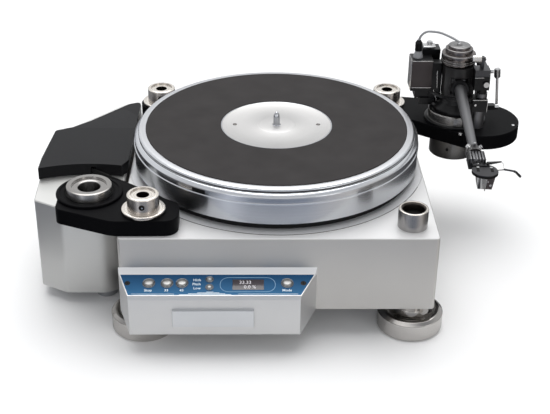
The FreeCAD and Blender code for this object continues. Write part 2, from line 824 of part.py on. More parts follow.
# Fixed blocks that stand on the arm base, left and right of the arm's axis
def make_lead_block():
    """Lead terminal box and the small adjuster block behind it, on one bracket from the pillar."""
    box = block(lead_x0, lead_x1, lead_y0, lead_y1, lead_z0, lead_z1)
    edges = [e for e in box.Edges if abs(e.BoundBox.ZLength - (lead_z1 - lead_z0)) < 0.01]
    box = box.makeFillet(1.5, edges)
    lip = block(lead_x0 + 1, lead_x1 - 1, lead_y0 - 1.2, lead_y0 + 1, lead_z0 + 3, lead_z0 + 5)
    foot = block(lead_x0 + 6, lead_x1 + 4, lead_y0 + 3, lead_y1 - 3, -8, lead_z0)
    arm = block(lead_x0 + 12, arm_at.x - pillar_r + 9, lead_y0, lead_y1 - 10, -15, -7)
    tower = block(lead_x1 - 10.5, lead_x1 + 11, lead_y1 - 2, lead_y1 + 16, lead_z0 + 18, lead_z0 + 44)
    wall = block(lead_x1 - 2, arm_at.x - yoke_r + 3, lead_y0 + 1, lead_y0 + 13, -15, lead_z1 - 3)
    leg = block(lead_x1 - 7, lead_x1, lead_y1 - 2, lead_y1 + 12, -7, lead_z0 + 18)
    body = box.fuse([lip, foot, arm, tower, leg, wall])
    body = clear_of_pillar(body)
    body = body.cut(cylinder(yoke_r + seam_gap, pillar_top, cap_bottom, arm_at))
    body = body.cut(cylinder(2.2 + run_gap, lead_z0 + 34, lead_z0 + 45, knob_at))
    return body.cut(cylinder(4 + slip_gap, lead_z1 - 8, lead_z1 + 1, plug_at))


def make_lead_plug():
    """Ribbed plug on the terminal box, with a tapered lower end."""
    z = lead_z1
    points = [(1.0, z - 7), (4, z - 7), (4, z), (5.4, z), (5.4, z + 2), (3.4, z + 8)]
    for i in range(4):
        rib = z + 9 + i * 2.6
        points += [(4.2, rib), (4.2, rib + 1.6), (3.7, rib + 1.8), (3.7, rib + 2.4)]
    top = z + 9 + 4 * 2.6
    points += [(3.4, top), (2.2, top + 2), (lead_r + 0.2, top + 2), (lead_r + 0.2, z - 7)]
    return turned(points[1:], plug_at)


def lead_route():
    """Points of the lead loop from the plug over to the top of the bearing cap."""
    start = plug_at + V(0, 0, lead_z1)
    return [start + V(0, 0, 13), start + V(0, 0, 25), start + V(7, -2, 33), start + V(22, -6, 33.5),
            start + V(36, -12, 29), arm_at + V(-2.4, 1.1, cap_top + 4.6)]


def make_lead_loop():
    """Round lead along straight runs joined by tangent arcs."""
    points = lead_route()
    edges = []
    last = points[0]
    for i in range(1, len(points) - 1):
        here = points[i]
        back = points[i - 1] - here
        ahead = points[i + 1] - here
        reach = 0.45 * min(back.Length, ahead.Length)
        back.normalize()
        ahead.normalize()
        half = back.getAngle(ahead) / 2
        radius = reach * math.tan(half)
        middle = back + ahead
        middle.normalize()
        mid = here + middle * (radius / math.sin(half) - radius)
        start = here + back * reach
        end = here + ahead * reach
        edges.append(Part.makeLine(last, start))
        edges.append(Part.Arc(start, mid, end).toShape())
        last = end
    edges.append(Part.makeLine(last, points[-1]))
    path = Part.Wire(edges)
    first = points[1] - points[0]
    circle = Part.Wire(Part.makeCircle(lead_r, points[0], first))
    return path.makePipeShell([circle], True, False)


def make_height_column():
    """Right-hand column with the lift cylinder and the lever's base bar."""
    x0 = column_x - column_half
    x1 = column_x + column_half
    y0 = column_y - column_half
    y1 = column_y + column_half
    body = cylinder(column_half - 1, board_top, column_low, V(column_x, column_y, 0))
    body = body.fuse(block(x0, x1, y0, y1, column_low, column_waist))
    body = body.fuse(cylinder(5.5, column_waist, column_head, V(column_x + 2.5, column_y, 0)))
    body = body.fuse(block(x0, x1, y0, y1, column_head, column_top))
    screw = rod(V(column_x + 4, y0, column_head + 8), V(0, -1, 0), 2.6, 2)
    lift = cylinder(cue_rod_r + 2, board_top, cue_low, cue_rod_at)
    web = block(cue_rod_at.x, x0 + 1, cue_rod_at.y - 1.5, cue_rod_at.y + 3, column_low, cue_low - 3)
    bar = block(x1 - 6, lever_x - 3, lever_y - 4, lever_y + 4, lever_z - lever_bar_half,
                lever_z + lever_bar_half)
    strut = block(x1 - 7, x1 - 1, column_y + 2, lever_y, lever_z - lever_bar_half, lever_z + lever_bar_half)
    body = body.fuse([screw, lift, web, bar, strut])
    body = body.cut(cylinder(cue_rod_r + run_gap, board_top + 2, cue_low + 1, cue_rod_at))
    body = body.cut(cylinder(base_disc_r + slip_gap, board_top - 1, board_top + base_disc_thick + slip_gap,
                             arm_at))
    body = body.cut(cylinder(ring_r + slip_gap, board_top, ring_top + slip_gap, arm_at))
    body = clear_of_pillar(body)
    body = body.cut(cylinder(yoke_r + seam_gap, pillar_top, column_top, arm_at))
    return body.cut(rod(V(lever_x - 10, lever_y, lever_z), V(1, 0, 0), lever_pin_r + run_gap, 12))


def make_bridge():
    """Bracket on the column's head: lug for the height knob, and a leg down to the pillar."""
    x0 = column_x - column_half
    x1 = column_x + column_half
    z1 = column_top + bridge_thick
    plate = block(x0, x1, column_y - column_half + 1, column_y + column_half, column_top, z1)
    back = block(x1 - 9, x1 - 1, column_y, lever_y + 8, column_top, z1)
    leg = block(x1 - 8, x1 - 2, lever_y - 2, lever_y + 8, bridge_low, column_top)
    foot = block(arm_at.x, x1 - 2, lever_y - 2, lever_y + 8, bridge_low - 7, bridge_low)
    lug_x = height_knob_x + height_knob_long + face_gap
    lug = block(lug_x, lug_x + 3.5, height_knob_y - 3, height_knob_y + 3, z1 - 1, height_knob_z + 2.6)
    body = plate.fuse([back, leg, foot, lug])
    body = clear_of_pillar(body)
    body = body.cut(cylinder(yoke_r + seam_gap, pillar_top, 80, arm_at))
    stem_hole = rod(V(lug_x - 1, height_knob_y, height_knob_z), V(1, 0, 0), knob_stem_r + run_gap, 6)
    lock_hole = rod(V(x1 - 6, lock_knob_y, lock_knob_z), V(1, 0, 0), knob_stem_r + run_gap, 8)
    return body.cut(stem_hole).cut(lock_hole)


def make_height_knob():
    """Knob of the height setting, its axis along X above the bridge."""
    start = V(height_knob_x, height_knob_y, height_knob_z)
    knob = rod(start, V(1, 0, 0), height_knob_r, height_knob_long)
    knob = soften(knob, 0.5, lambda e: e.BoundBox.XLength < 0.01)
    return knob.fuse(rod(start + V(height_knob_long, 0, 0), V(1, 0, 0), knob_stem_r, 6))


def make_lock_knob():
    """Small lock knob on the right of the bridge."""
    start = V(column_x + column_half - 5, lock_knob_y, lock_knob_z)
    body = rod(start, V(1, 0, 0), knob_stem_r, 6)
    return body.fuse(rod(start + V(5.4, 0, 0), V(1, 0, 0), 2.9, 4.5))


def make_adjuster_knob():
    z = lead_z0 + 44.3
    return turned([(0, z - 8), (2.2, z - 8), (2.2, z + 1.5), (3.5, z + 1.5), (3.5, z + 5.5), (2.9, z + 6.2),
                   (0, z + 6.2)], knob_at)


def make_cue_rod():
    """Lift rod with the curved bar that carries the tube as it swings."""
    bar_top = cue_bar_top
    bar = ring(cue_arc_r + 1.6, cue_arc_r - 1.6, bar_top - cue_bar_thick, bar_top, arm_at)
    reach = cue_arc_r + 20
    points = [V(arm_at.x, arm_at.y, bar_top - 10)]
    for degrees in (-70, -110, -152):
        turn = math.radians(degrees)
        points.append(V(arm_at.x + reach * math.cos(turn), arm_at.y + reach * math.sin(turn), bar_top - 10))
    wedge = Part.Face(Part.makePolygon(points + points[:1])).extrude(V(0, 0, 20))
    return bar.common(wedge).fuse(cylinder(cue_rod_r, cue_low - 24, bar_top - 1, cue_rod_at))


# Cue lever
def make_cue_lever():
    """Lever on a pin along X: hub, stem and knurled knob."""
    hub = rod(V(lever_x - 2.6, lever_y, lever_z), V(1, 0, 0), 3.6, 4.5)
    pin = rod(V(lever_x - 9, lever_y, lever_z), V(1, 0, 0), lever_pin_r, 8)
    root = V(lever_x, lever_y, lever_z)
    up = V(-lever_lean, 0, 1)
    up.normalize()
    stem = rod(root + up * 2, up, 1.5, lever_len - 2)
    knob = rod(root + up * lever_len, up, 3.4, 11.5)
    knob = knob.makeChamfer(0.8, [e for e in knob.Edges if abs(e.Length - 2 * math.pi * 3.4) < 0.1])
    return hub.fuse([pin, stem, knob])


def arm_local(shape):
    """Turn a shape drawn straight ahead about the arm's axis into its parked place."""
    out = shape.copy()
    out.rotate(arm_at, UP, -arm_turn)
    return out


# Swinging yoke
def make_yoke():
    """Black bearing housing that turns on the pillar, with the lift pin across it."""
    low = pillar_top + face_gap
    body = block(arm_at.x - yoke_half, arm_at.x + yoke_half, arm_at.y - yoke_r, arm_at.y + yoke_r,
                 low, yoke_top)
    body = body.common(cylinder(yoke_r, low, yoke_top, arm_at))
    passage = block(arm_at.x - tube_room, arm_at.x + tube_room, arm_at.y - yoke_r - 1,
                    arm_at.y + yoke_r + 1, tube_z - tube_room, tube_z + tube_room)
    body = body.cut(arm_local(passage))
    pin = rod(V(arm_at.x - yoke_half + 2, arm_at.y, tube_z), V(1, 0, 0), lift_pin_r, 2 * yoke_half - 4)
    return body.fuse([arm_local(pin), cylinder(pillar_bore_r, ring_top, low + 1, arm_at)])


def make_bearing_cap():
    return turned([(0, yoke_top), (cap_r - 3, yoke_top), (cap_r, cap_bottom + 1), (cap_r, cap_bottom + 5),
                   (cap_r - 0.4, cap_bottom + 5.4), (cap_r, cap_bottom + 5.8), (cap_r, cap_shoulder - 3),
                   (cap_r - 0.8, cap_shoulder - 2), (cap_step_r, cap_shoulder - 2),
                   (cap_step_r, cap_top - 2), (cap_step_r - 0.8, cap_top - 1.4),
                   (cap_top_r, cap_top - 1.4), (cap_top_r, cap_top + 1.4),
                   (cap_top_r - 0.8, cap_top + 2), (3.0, cap_top + 2), (3.0, cap_top + 2.8),
                   (0, cap_top + 2.8)], arm_at)


# Lifting arm tube and what it carries, drawn straight ahead of the axis
def make_arm_tube():
    """Tapered tube with its pivot hub, weight rod, clamp collar and finned coupling."""
    ahead = V(0, -1, 0)
    y0 = arm_at.y - tube_start
    body = Part.makeCone(tube_root_r, tube_tip_r, tube_len, V(arm_at.x, y0, tube_z), ahead)
    pieces = [rod(V(arm_at.x, weight_y + weight_long + 4, tube_z), ahead, weight_rod_r,
                  weight_y + weight_long + 5 - y0),
              rod(V(arm_at.x - 8, arm_at.y, tube_z), V(1, 0, 0), 6.0, 16),
              Part.makeCone(clamp_small_r, clamp_r, clamp_long, V(arm_at.x, tip_y + clamp_back, tube_z),
                            ahead)]
    for degrees in (-50, 0, 50):
        turn = math.radians(degrees)
        out = V(math.sin(turn), 0, math.cos(turn))
        pieces.append(rod(V(arm_at.x, tip_y + clamp_back - 5, tube_z) + out * 5, out, 1.8, 4.2))
    pieces.append(rod(V(arm_at.x, tip_y + 1, tube_z), ahead, 4.4, coupling_long))
    fin_front = tip_y - fin_start - fin_long
    for i in range(fin_count):
        x = arm_at.x + (i - (fin_count - 1) / 2) * fin_pitch
        pieces.append(block(x - fin_thick / 2, x + fin_thick / 2, fin_front, fin_front + fin_long,
                            tube_z - fin_low, tube_z + fin_high))
    pieces.append(block(arm_at.x - fin_r, arm_at.x + fin_r, fin_front, fin_front + fin_long,
                        tube_z - fin_low, tube_z - fin_low + 3))
    body = body.fuse(pieces)
    hole = rod(V(arm_at.x - 20, arm_at.y, tube_z), V(1, 0, 0), lift_pin_r + run_gap, 40)
    return arm_local(body.cut(hole))


def make_headshell():
    """Round plate with two slots, and the bent finger lift on its right."""
    low = tube_z - shell_half
    shell_x = arm_at.x + shell_out
    plate = cylinder(shell_r, low, tube_z + shell_half, V(shell_x, shell_y, 0))
    body = plate.fuse(block(arm_at.x - 5, shell_x + 3, shell_y + 8, tip_y - coupling_long + 1.0,
                            low, tube_z + shell_half + 1))
    for sx in (-1, 1):
        body = body.cut(block(shell_x + sx * 7 - 1.2, shell_x + sx * 7 + 1.2, shell_y - 3, shell_y + 4,
                              tube_z - 3, tube_z + 3))
    points = [V(shell_x + 10, shell_y + 4, tube_z), V(shell_x + 18.3, shell_y + 4.6, tube_z + 1),
              V(shell_x + 29.5, shell_y + 2.1, tube_z + 0.5), V(shell_x + 35, shell_y - 1.4, tube_z - 3.5)]
    for a, b in zip(points, points[1:]):
        body = body.fuse([rod(a, b - a, 1.0, (b - a).Length), Part.makeSphere(1.0, b)])
    return arm_local(body)


def make_cartridge():
    """Cartridge under the headshell, narrower at its foot, with the stylus at its front."""
    z1 = tube_z - shell_half
    z0 = z1 - cartridge_high
    outlines = []
    for half, front, rear, z in ((9, -10, 9, z1), (7, -9, 7, z0)):
        outlines.append(Part.makePolygon([V(-half, front, z), V(half, front, z), V(half, rear, z),
                                          V(-half, rear, z), V(-half, front, z)]))
    body = Part.makeLoft(outlines, True, True)
    shell_x = arm_at.x + shell_out
    body.translate(V(shell_x, shell_y, 0))
    stem = rod(V(shell_x, shell_y - 6, z0 + 0.6), V(0, -1, -0.22), 0.5, 5.5)
    tip = Part.makeCone(0.7, 0.2, z0 - 0.6 - stylus_z, V(shell_x, shell_y - 10.6, z0 - 0.6), V(0, 0, -1))
    return arm_local(body.fuse([stem, tip]))


def make_counterweight():
    """Two discs with a groove between them on the weight rod."""
    at = V(arm_at.x, weight_y, tube_z)
    back = V(0, 1, 0)
    body = rod(at, back, weight_r, 8).fuse(rod(at, back, weight_r - 1.5, weight_long))
    body = body.fuse(rod(at + V(0, 9.2, 0), back, weight_r, weight_long - 9.2))
    return arm_local(body.cut(rod(at - V(0, 1, 0), back, weight_rod_r + run_gap, weight_long + 3)))


# Console
def slope_frame():
    """Panel plane: origin at its top edge, unit vectors down the slope and out of it."""
    down = V(0, console_lip_y - console_slope_y, console_lip_z - console_slope_z)
    length = down.Length
    down.normalize()
    out = V(0, down.z, -down.y)
    return V(0, console_slope_y, console_slope_z), down, out, length


def on_panel(x, s, h=0.0):
    """Point on the panel at x, a distance s down the slope and a height h above it."""
    origin, down, out, _ = slope_frame()
    return origin + V(x, 0, 0) + down * s + out * h


def panel_rod(x, s, h0, h1, r):
    """Round rod square to the panel."""
    return rod(on_panel(x, s, h0), slope_frame()[2], r, h1 - h0)


def panel_box(x0, x1, s0, s1, h0, h1):
    """Box square to the panel."""
    wire = Part.makePolygon([on_panel(x0, s0, h0), on_panel(x1, s0, h0), on_panel(x1, s1, h0),
                             on_panel(x0, s1, h0), on_panel(x0, s0, h0)])
    return Part.Face(wire).extrude(slope_frame()[2] * (h1 - h0))


def console_plan(inset, y_back):
    """Plan of the console between its slanted cheeks, as an upright slab."""
    run = chassis_front - console_face_y
    left = (console_left_front - console_left) / run
    right = (console_right - console_right_front) / run
    y1 = y_back
    back = y1 - chassis_front
    points = [V(console_left + inset - back * left, y1, -200),
              V(console_right - inset + back * right, y1, -200),
              V(console_right_front - inset - right * 5, console_face_y - 5, -200),
              V(console_left_front + inset + left * 5, console_face_y - 5, -200)]
    return Part.Face(Part.makePolygon(points + points[:1])).extrude(V(0, 0, 200))


def side_profile(points):
    """Solid across the whole width from (y, z) points."""
    wire = Part.makePolygon([V(console_left - 50, y, z) for y, z in points + points[:1]])
    return Part.Face(wire).extrude(V(console_right - console_left + 100, 0, 0))


def panel_blank(gap, h0, h1):
    """Panel plate with its slanted ends."""
    length = slope_frame()[3]
    plate = panel_box(console_left - 20, console_right + 20, panel_margin - gap,
                      length - panel_margin + gap, h0, h1)
    return plate.common(console_plan(panel_margin - gap, chassis_front))


def make_console():
    body = side_profile([(chassis_front, console_back_z), (console_slope_y, console_slope_z),
                         (console_lip_y, console_lip_z), (console_face_y, console_lip_z - 4.5),
                         (console_face_y, console_face_bottom + 1), (console_face_y + 1, console_face_bottom),
                         (chassis_front, chassis_bottom)])
    body = body.common(console_plan(0, chassis_front))
    w = console_wall
    deep = panel_deep
    top_back = on_panel(0, 2, -deep)
    top_front = on_panel(0, slope_frame()[3] - 2, -deep)
    room = side_profile([(chassis_front + 1, top_back.z), (top_back.y, top_back.z),
                         (top_front.y, top_front.z), (console_face_y + w, console_face_top - 2),
                         (console_face_y + w, console_face_bottom + w), (chassis_front, chassis_bottom + w),
                         (chassis_front + 1, chassis_bottom + w)])
    body = body.cut(room.common(console_plan(w, chassis_front + 1)))
    body = body.cut(panel_blank(slip_gap, -panel_thick, 5))
    for _, x in round_buttons:
        body = body.cut(panel_rod(x, button_s, -deep - 2, 0, button_r + slip_gap + 0.6))
    for _, s in small_buttons:
        body = body.cut(panel_rod(small_button_x, s, -deep - 2, 0, small_button_r + slip_gap + 0.6))
    for x, s in panel_screw_places:
        body = body.cut(panel_rod(x, s, -deep - 2, 0, panel_screw_r + slip_gap))
    return body.cut(panel_box(window_x0 - 1, window_x1 + 1, window_s0 - 0.5, window_s1 + 0.5, -deep - 4, 0))


def make_control_panel():
    """Panel plate with countersinks, the window's cut-out and a raised ring round each button."""
    body = panel_blank(0, -panel_thick, 0)
    for _, x in round_buttons:
        body = body.fuse(panel_rod(x, button_s, -0.5, button_ring_proud, button_ring_r))
    for _, x in round_buttons:
        body = body.cut(panel_rod(x, button_s, -3, 1, button_r + slip_gap))
    for _, s in small_buttons:
        body = body.cut(panel_rod(small_button_x, s, -3, 1, small_button_r + slip_gap))
    for x, s in panel_screw_places:
        hole_r = panel_screw_r + slip_gap
        body = body.cut(panel_rod(x, s, -3, 1, hole_r))
        body = body.cut(Part.makeCone(hole_r, hole_r + 1.6, 1.4, on_panel(x, s, -1.4), slope_frame()[2]))
    return body.cut(panel_box(window_x0, window_x1, window_s0, window_s1, -3, 1))


def make_panel_screws():
    solids = []
    for x, s in panel_screw_places:
        screw = panel_rod(x, s, -6, -1.4, panel_screw_r)
        screw = screw.fuse(Part.makeCone(panel_screw_r, 2.9, 1.3, on_panel(x, s, -1.4), slope_frame()[2]))
        solids.append(screw.cut(panel_rod(x, s, -1.2, 1, 0.9)))
    return Part.makeCompound(solids)


def make_button(x, s, r, proud):
    """Push button: cap, and a wider flange that holds it under the panel's shelf."""
    flange_top = -panel_deep - face_gap
    cap = panel_rod(x, s, flange_top, proud, r)
    cap = cap.makeChamfer(0.35, [e for e in cap.Edges if e.BoundBox.Center.z > on_panel(x, s, proud - 0.1).z])
    return cap.fuse(panel_rod(x, s, flange_top - button_flange, flange_top, r + 1.4))


def make_window():
    gap = slip_gap
    return panel_box(window_x0 + gap, window_x1 - gap, window_s0 + gap, window_s1 - gap, -panel_thick, 0.1)


def make_control_board():
    """Circuit board under the panel, with a switch below each button and the display block."""
    x0 = console_left + 17
    x1 = console_right - 23
    board = panel_box(x0, x1, 4, 26, -board_depth - 1.4, -board_depth)
    pieces = [panel_box(window_x0 + 0.5, window_x1 - 0.5, window_s0 + 1, window_s1 - 1, -board_depth,
                        -panel_thick - slip_gap)]
    for x in (x0 + 3, x1 - 1):
        pieces.append(panel_rod(x, 22, -board_depth, -panel_deep - fixed_gap, 2.2))
    for _, x in round_buttons:
        pieces.append(panel_rod(x, button_s, -board_depth, -board_depth + switch_high, switch_r))
    for _, s in small_buttons:
        pieces.append(panel_rod(small_button_x, s, -board_depth, -board_depth + switch_high, switch_r))
    return board.fuse(pieces)


def make_nameplate():
    body = block(plate_x0, plate_x1, console_face_y - plate_proud, console_face_y, plate_z0, plate_z1)
    edges = [e for e in body.Edges if abs(e.BoundBox.YMax - (console_face_y - plate_proud)) < 0.01]
    return body.makeChamfer(0.4, edges)


# Feet
def make_foot(at):
    """Round foot with its dark dished top, stem and threaded stud."""
    stem_top = chassis_bottom - face_gap
    stud_top = chassis_bottom + foot_stud_len - 1
    return turned([(0, floor_z), (foot_r - foot_chamfer, floor_z), (foot_r, floor_z + foot_chamfer),
                   (foot_r, foot_top), (foot_r - 0.6, foot_top), (foot_r - 3.6, foot_cap_top),
                   (foot_r - 9, foot_cap_top), (foot_r - 10, foot_cap_top - 1.2),
                   (foot_stem_r + 4, foot_cap_top - 1.2), (foot_stem_r, foot_cap_top + 2.5),
                   (foot_stem_r, stem_top), (foot_stud_r, stem_top), (foot_stud_r, stud_top),
                   (0, stud_top)], at)


def group(shapes):
    """Several separate solids in one node."""
    return Part.makeCompound(list(shapes))


def main():
    os.makedirs("parts", exist_ok=True)
    posts = dict(post_places())
    clamped = [at for name, at in post_places() if name != "front_right"]
    sockets = [make_socket(x, chassis_rear, socket_z, socket_deep) for x in socket_places]
    nodes = {
        "chassis": make_chassis(),
        "bottom_plate": make_bottom_plate(),
        "base_plate": make_base_plate(),
        "link_sockets": group(sockets),
        "bearing_sleeve": make_bearing_sleeve(),
        "corner_posts": group(make_post(at) for at in posts.values()),
        "clamp_hubs": group(make_hub(at) for at in clamped),
        "rear_spacer": make_spacer(posts["rear_left"]),
        "bearing_shaft": make_bearing_shaft(),
        "spindle": make_spindle(),
        "platter": make_platter(),
        "platter_mat": make_platter_mat(),
        "label_disc": make_label_disc(),
        "label_screws": make_label_screws(),
        "belt": make_belt(),
        "motor_pulley": make_pulley(),
        "motor_shaft": make_motor_shaft(),
        "motor": make_motor(),
        "motor_housing": make_motor_housing(),
        "motor_base": make_motor_base(),
        "motor_cover": make_motor_cover(),
        "console_housing": make_console(),
        "control_panel": make_control_panel(),
        "panel_screws": make_panel_screws(),
        "display_window": make_window(),
        "control_board": make_control_board(),
        "nameplate": make_nameplate(),
        "left_armboard": make_left_armboard(),
        "collar_disc": make_collar_disc(),
        "arm_collar": make_collar(),
        "right_armboard": make_right_armboard(),
        "board_pins": make_board_pins(),
        "arm_base": make_arm_base(),
        "arm_pillar": make_arm_pillar(),
        "lead_block": make_lead_block(),
        "lead_plug": make_lead_plug(),
        "lead_loop": make_lead_loop(),
        "height_column": make_height_column(),
        "column_bridge": make_bridge(),
        "height_knob": make_height_knob(),
        "lock_knob": make_lock_knob(),
        "adjuster_knob": make_adjuster_knob(),
        "cue_rod": make_cue_rod(),
        "cue_lever": make_cue_lever(),
        "arm_yoke": make_yoke(),
        "bearing_cap": make_bearing_cap(),
        "arm_tube": make_arm_tube(),
        "counterweight": make_counterweight(),
        "headshell": make_headshell(),
        "cartridge": make_cartridge(),
    }
    for name, x in round_buttons:
        nodes[name] = make_button(x, button_s, button_r, button_proud)
    for name, s in small_buttons:
        nodes[name] = make_button(small_button_x, s, small_button_r, button_proud - 0.6)
    for corner, at in foot_places():
        nodes["foot_" + corner] = make_foot(at)
    for name, shape in nodes.items():
        shape.exportStep("parts/%s.step" % name)
        print(name, len(shape.Solids), shape.isValid(), round(shape.Volume))


main()
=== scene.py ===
import math

import bpy
import bmesh
from mathutils import Matrix, Vector


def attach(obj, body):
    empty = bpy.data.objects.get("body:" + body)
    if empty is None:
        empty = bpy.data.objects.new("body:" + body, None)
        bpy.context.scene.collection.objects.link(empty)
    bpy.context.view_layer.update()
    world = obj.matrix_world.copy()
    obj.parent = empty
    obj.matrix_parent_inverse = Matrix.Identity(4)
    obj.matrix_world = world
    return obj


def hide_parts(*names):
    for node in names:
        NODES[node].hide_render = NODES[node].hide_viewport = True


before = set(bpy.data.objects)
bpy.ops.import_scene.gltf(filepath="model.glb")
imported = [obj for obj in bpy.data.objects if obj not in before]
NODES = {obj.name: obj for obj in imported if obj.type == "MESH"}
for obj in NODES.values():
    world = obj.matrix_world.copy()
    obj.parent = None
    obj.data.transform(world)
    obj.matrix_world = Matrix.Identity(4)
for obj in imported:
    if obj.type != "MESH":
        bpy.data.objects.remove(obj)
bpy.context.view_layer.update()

# All sizes below are millimetres in the CAD's own frame; MM brings them to metres.
MM = 0.001

# Heights, places and leans of the main pieces
FLOOR_Z = -165.0
SEAM_TOP = -46.24
POSTS = {"front_left": (-137.0, -145.5), "rear_left": (-137.0, 123.0),
         "front_right": (137.0, -145.5), "rear_right": (137.0, 123.0)}
BARE_POST = "front_right"
COLLAR = (-196.0, -109.0)
ARM = (214.5, 82.0)
ARM_TURN = math.radians(4.2)
TUBE_Z = 18.5
CAP = (212.5, 82.0)
SHELL = (221.0, -151.0)
PANEL_TOP = Vector((0.0, -175.5, -86.0))
PANEL_FOOT = Vector((0.0, -202.7, -94.4))
PANEL_COS, PANEL_SIN = 0.9555, 0.2951


# Materials

# Places on a noise ramp where its darker tone ends and its lighter one begins
CLOUD_STOPS = (0.3, 0.7)


def srgb(*values):
    """Linear colour from 0 to 255 display values."""
    out = []
    for v in values:
        c = v / 255.0
        out.append(c / 12.92 if c <= 0.04045 else ((c + 0.055) / 1.055) ** 2.4)
    return tuple(out) + (1.0,)


def tinted(colour, k):
    return tuple(min(1.0, c * k) for c in colour[:3]) + (1.0,)


class Graph:
    """Short ways to add linked nodes to one node tree."""

    def __init__(self, tree):
        self.tree = tree

    def add(self, kind, feed=(), **settings):
        """New node; feed gives its inputs an output to link or a fixed value."""
        node = self.tree.nodes.new(kind)
        for key, value in settings.items():
            setattr(node, key, value)
        for key, value in dict(feed).items():
            if isinstance(value, bpy.types.NodeSocket):
                self.link(value, node.inputs[key])
            else:
                node.inputs[key].default_value = value
        return node

    def link(self, out, socket):
        self.tree.links.new(out, socket)

    def vector(self, operation, first, second=None):
        feed = {0: first} if second is None else {0: first, 1: second}
        node = self.add("ShaderNodeVectorMath", feed, operation=operation)
        return node.outputs["Value" if operation in ("LENGTH", "DOT_PRODUCT") else "Vector"]

    def split(self, vector):
        return self.add("ShaderNodeSeparateXYZ", {0: vector}).outputs

    def mix(self, fac, first, second):
        node = self.add("ShaderNodeMixRGB", {"Fac": fac, "Color1": first, "Color2": second})
        return node.outputs["Color"]

    def ramp(self, fac, stops):
        node = self.add("ShaderNodeValToRGB", {"Fac": fac})
        elements = node.color_ramp.elements
        while len(elements) < len(stops):
            elements.new(0.5)
        for element, (place, colour) in zip(elements, stops):
            element.position = place
            element.color = colour
        return node.outputs["Color"]

    def share(self, value, low, high, kind="LINEAR"):
        """Map a range onto 0 to 1."""
        node = self.add("ShaderNodeMapRange", {"Value": value, "From Min": low, "From Max": high},
                        interpolation_type=kind)
        return node.outputs["Result"]

    def spread(self, fac, low, high):
        """Map a 0 to 1 signal onto a range."""
        node = self.add("ShaderNodeMapRange", {"Value": fac, "To Min": low, "To Max": high})
        return node.outputs["Result"]


class Shader(Graph):
    """A principled material whose colour, roughness and bump come from nodes."""

    def __init__(self, name, levels=()):
        self.mat = bpy.data.materials.new(name)
        self.mat.use_nodes = True
        super().__init__(self.mat.node_tree)
        self.bsdf = self.tree.nodes["Principled BSDF"]
        for key, value in dict(levels).items():
            self.bsdf.inputs[key].default_value = value
        self.coords = self.add("ShaderNodeTexCoord").outputs["Object"]

    def noise(self, scale, detail=3.0, stretch=(1, 1, 1)):
        """Noise over object space, stretched per axis."""
        mapping = self.add("ShaderNodeMapping", {"Vector": self.coords, "Scale": stretch})
        tex = self.add("ShaderNodeTexNoise", {"Vector": mapping.outputs["Vector"], "Scale": scale,
                                              "Detail": detail})
        return tex.outputs["Fac"]

    def turned_noise(self, centre, scale, detail=2.0):
        """Noise that depends on the distance from an upright axis, like turning marks."""
        shift = self.vector("SUBTRACT", self.coords, (centre[0] * MM, centre[1] * MM, 0))
        radius = self.vector("LENGTH", self.vector("MULTIPLY", shift, (1, 1, 0)))
        height = self.split(self.coords)["Z"]
        join = self.add("ShaderNodeCombineXYZ", {"X": radius, "Y": height})
        tex = self.add("ShaderNodeTexNoise", {"Vector": join.outputs["Vector"], "Scale": scale,
                                              "Detail": detail})
        return tex.outputs["Fac"]

    def colour(self, out):
        self.link(out, self.bsdf.inputs["Base Color"])

    def blend(self, fac, dark, light):
        return self.ramp(fac, list(zip(CLOUD_STOPS, (dark, light))))

    def tone(self, fac, colour, low, high):
        """Let the base colour wander between two shares of one colour."""
        self.colour(self.blend(fac, tinted(colour, low), tinted(colour, high)))

    def roughness(self, fac, low, high):
        self.link(self.spread(fac, low, high), self.bsdf.inputs["Roughness"])

    def bump(self, fac, strength, distance=0.05):
        node = self.add("ShaderNodeBump", {"Height": fac, "Strength": strength, "Distance": distance * MM})
        self.link(node.outputs["Normal"], self.bsdf.inputs["Normal"])


def blasted_metal(name, colour, rough=0.42, grain=900.0):
    """Bead-blasted metal: fine even grain, faint cloudiness."""
    s = Shader(name, {"Metallic": 1.0})
    s.tone(s.noise(9.0, 3.0), colour, 0.95, 1.04)
    grains = s.noise(grain, 2.0)
    s.roughness(grains, rough - 0.05, rough + 0.05)
    s.bump(grains, 0.12)
    return s.mat


def turned_metal(name, colour, centre, rough=0.12, marks=2200.0, depth=0.04):
    """Lathe-turned metal with fine rings round its axis."""
    s = Shader(name, {"Metallic": 1.0})
    rings = s.turned_noise(centre, marks)
    s.tone(rings, colour, 0.93, 1.05)
    s.roughness(rings, rough * 0.7, rough * 1.4)
    s.bump(rings, depth)
    return s.mat


def satin_black(name, colour, rough=0.38, grain=700.0, shine=0.25):
    """Anodised or painted black with a fine grain."""
    s = Shader(name, {"Specular IOR Level": shine})
    s.tone(s.noise(14.0, 3.0), colour, 0.85, 1.15)
    grains = s.noise(grain, 2.0)
    s.roughness(grains, rough - 0.06, rough + 0.06)
    s.bump(grains, 0.08, 0.04)
    return s.mat


def moulded(name, colour, rough=0.5, grain=500.0, shine=0.2):
    """Moulded plastic or rubber."""
    s = Shader(name, {"Specular IOR Level": shine})
    s.tone(s.noise(30.0, 2.0), colour, 0.9, 1.1)
    grains = s.noise(grain, 3.0)
    s.roughness(grains, rough - 0.08, rough + 0.08)
    s.bump(grains, 0.15)
    return s.mat


def lit(name, colour, strength):
    """Glowing digits."""
    s = Shader(name, {"Emission Strength": strength})
    glow = s.ramp(s.noise(900.0, 1.0), [(0.2, tinted(colour, 0.85)), (0.8, colour)])
    s.colour(glow)
    s.link(glow, s.bsdf.inputs["Emission Color"])
    return s.mat


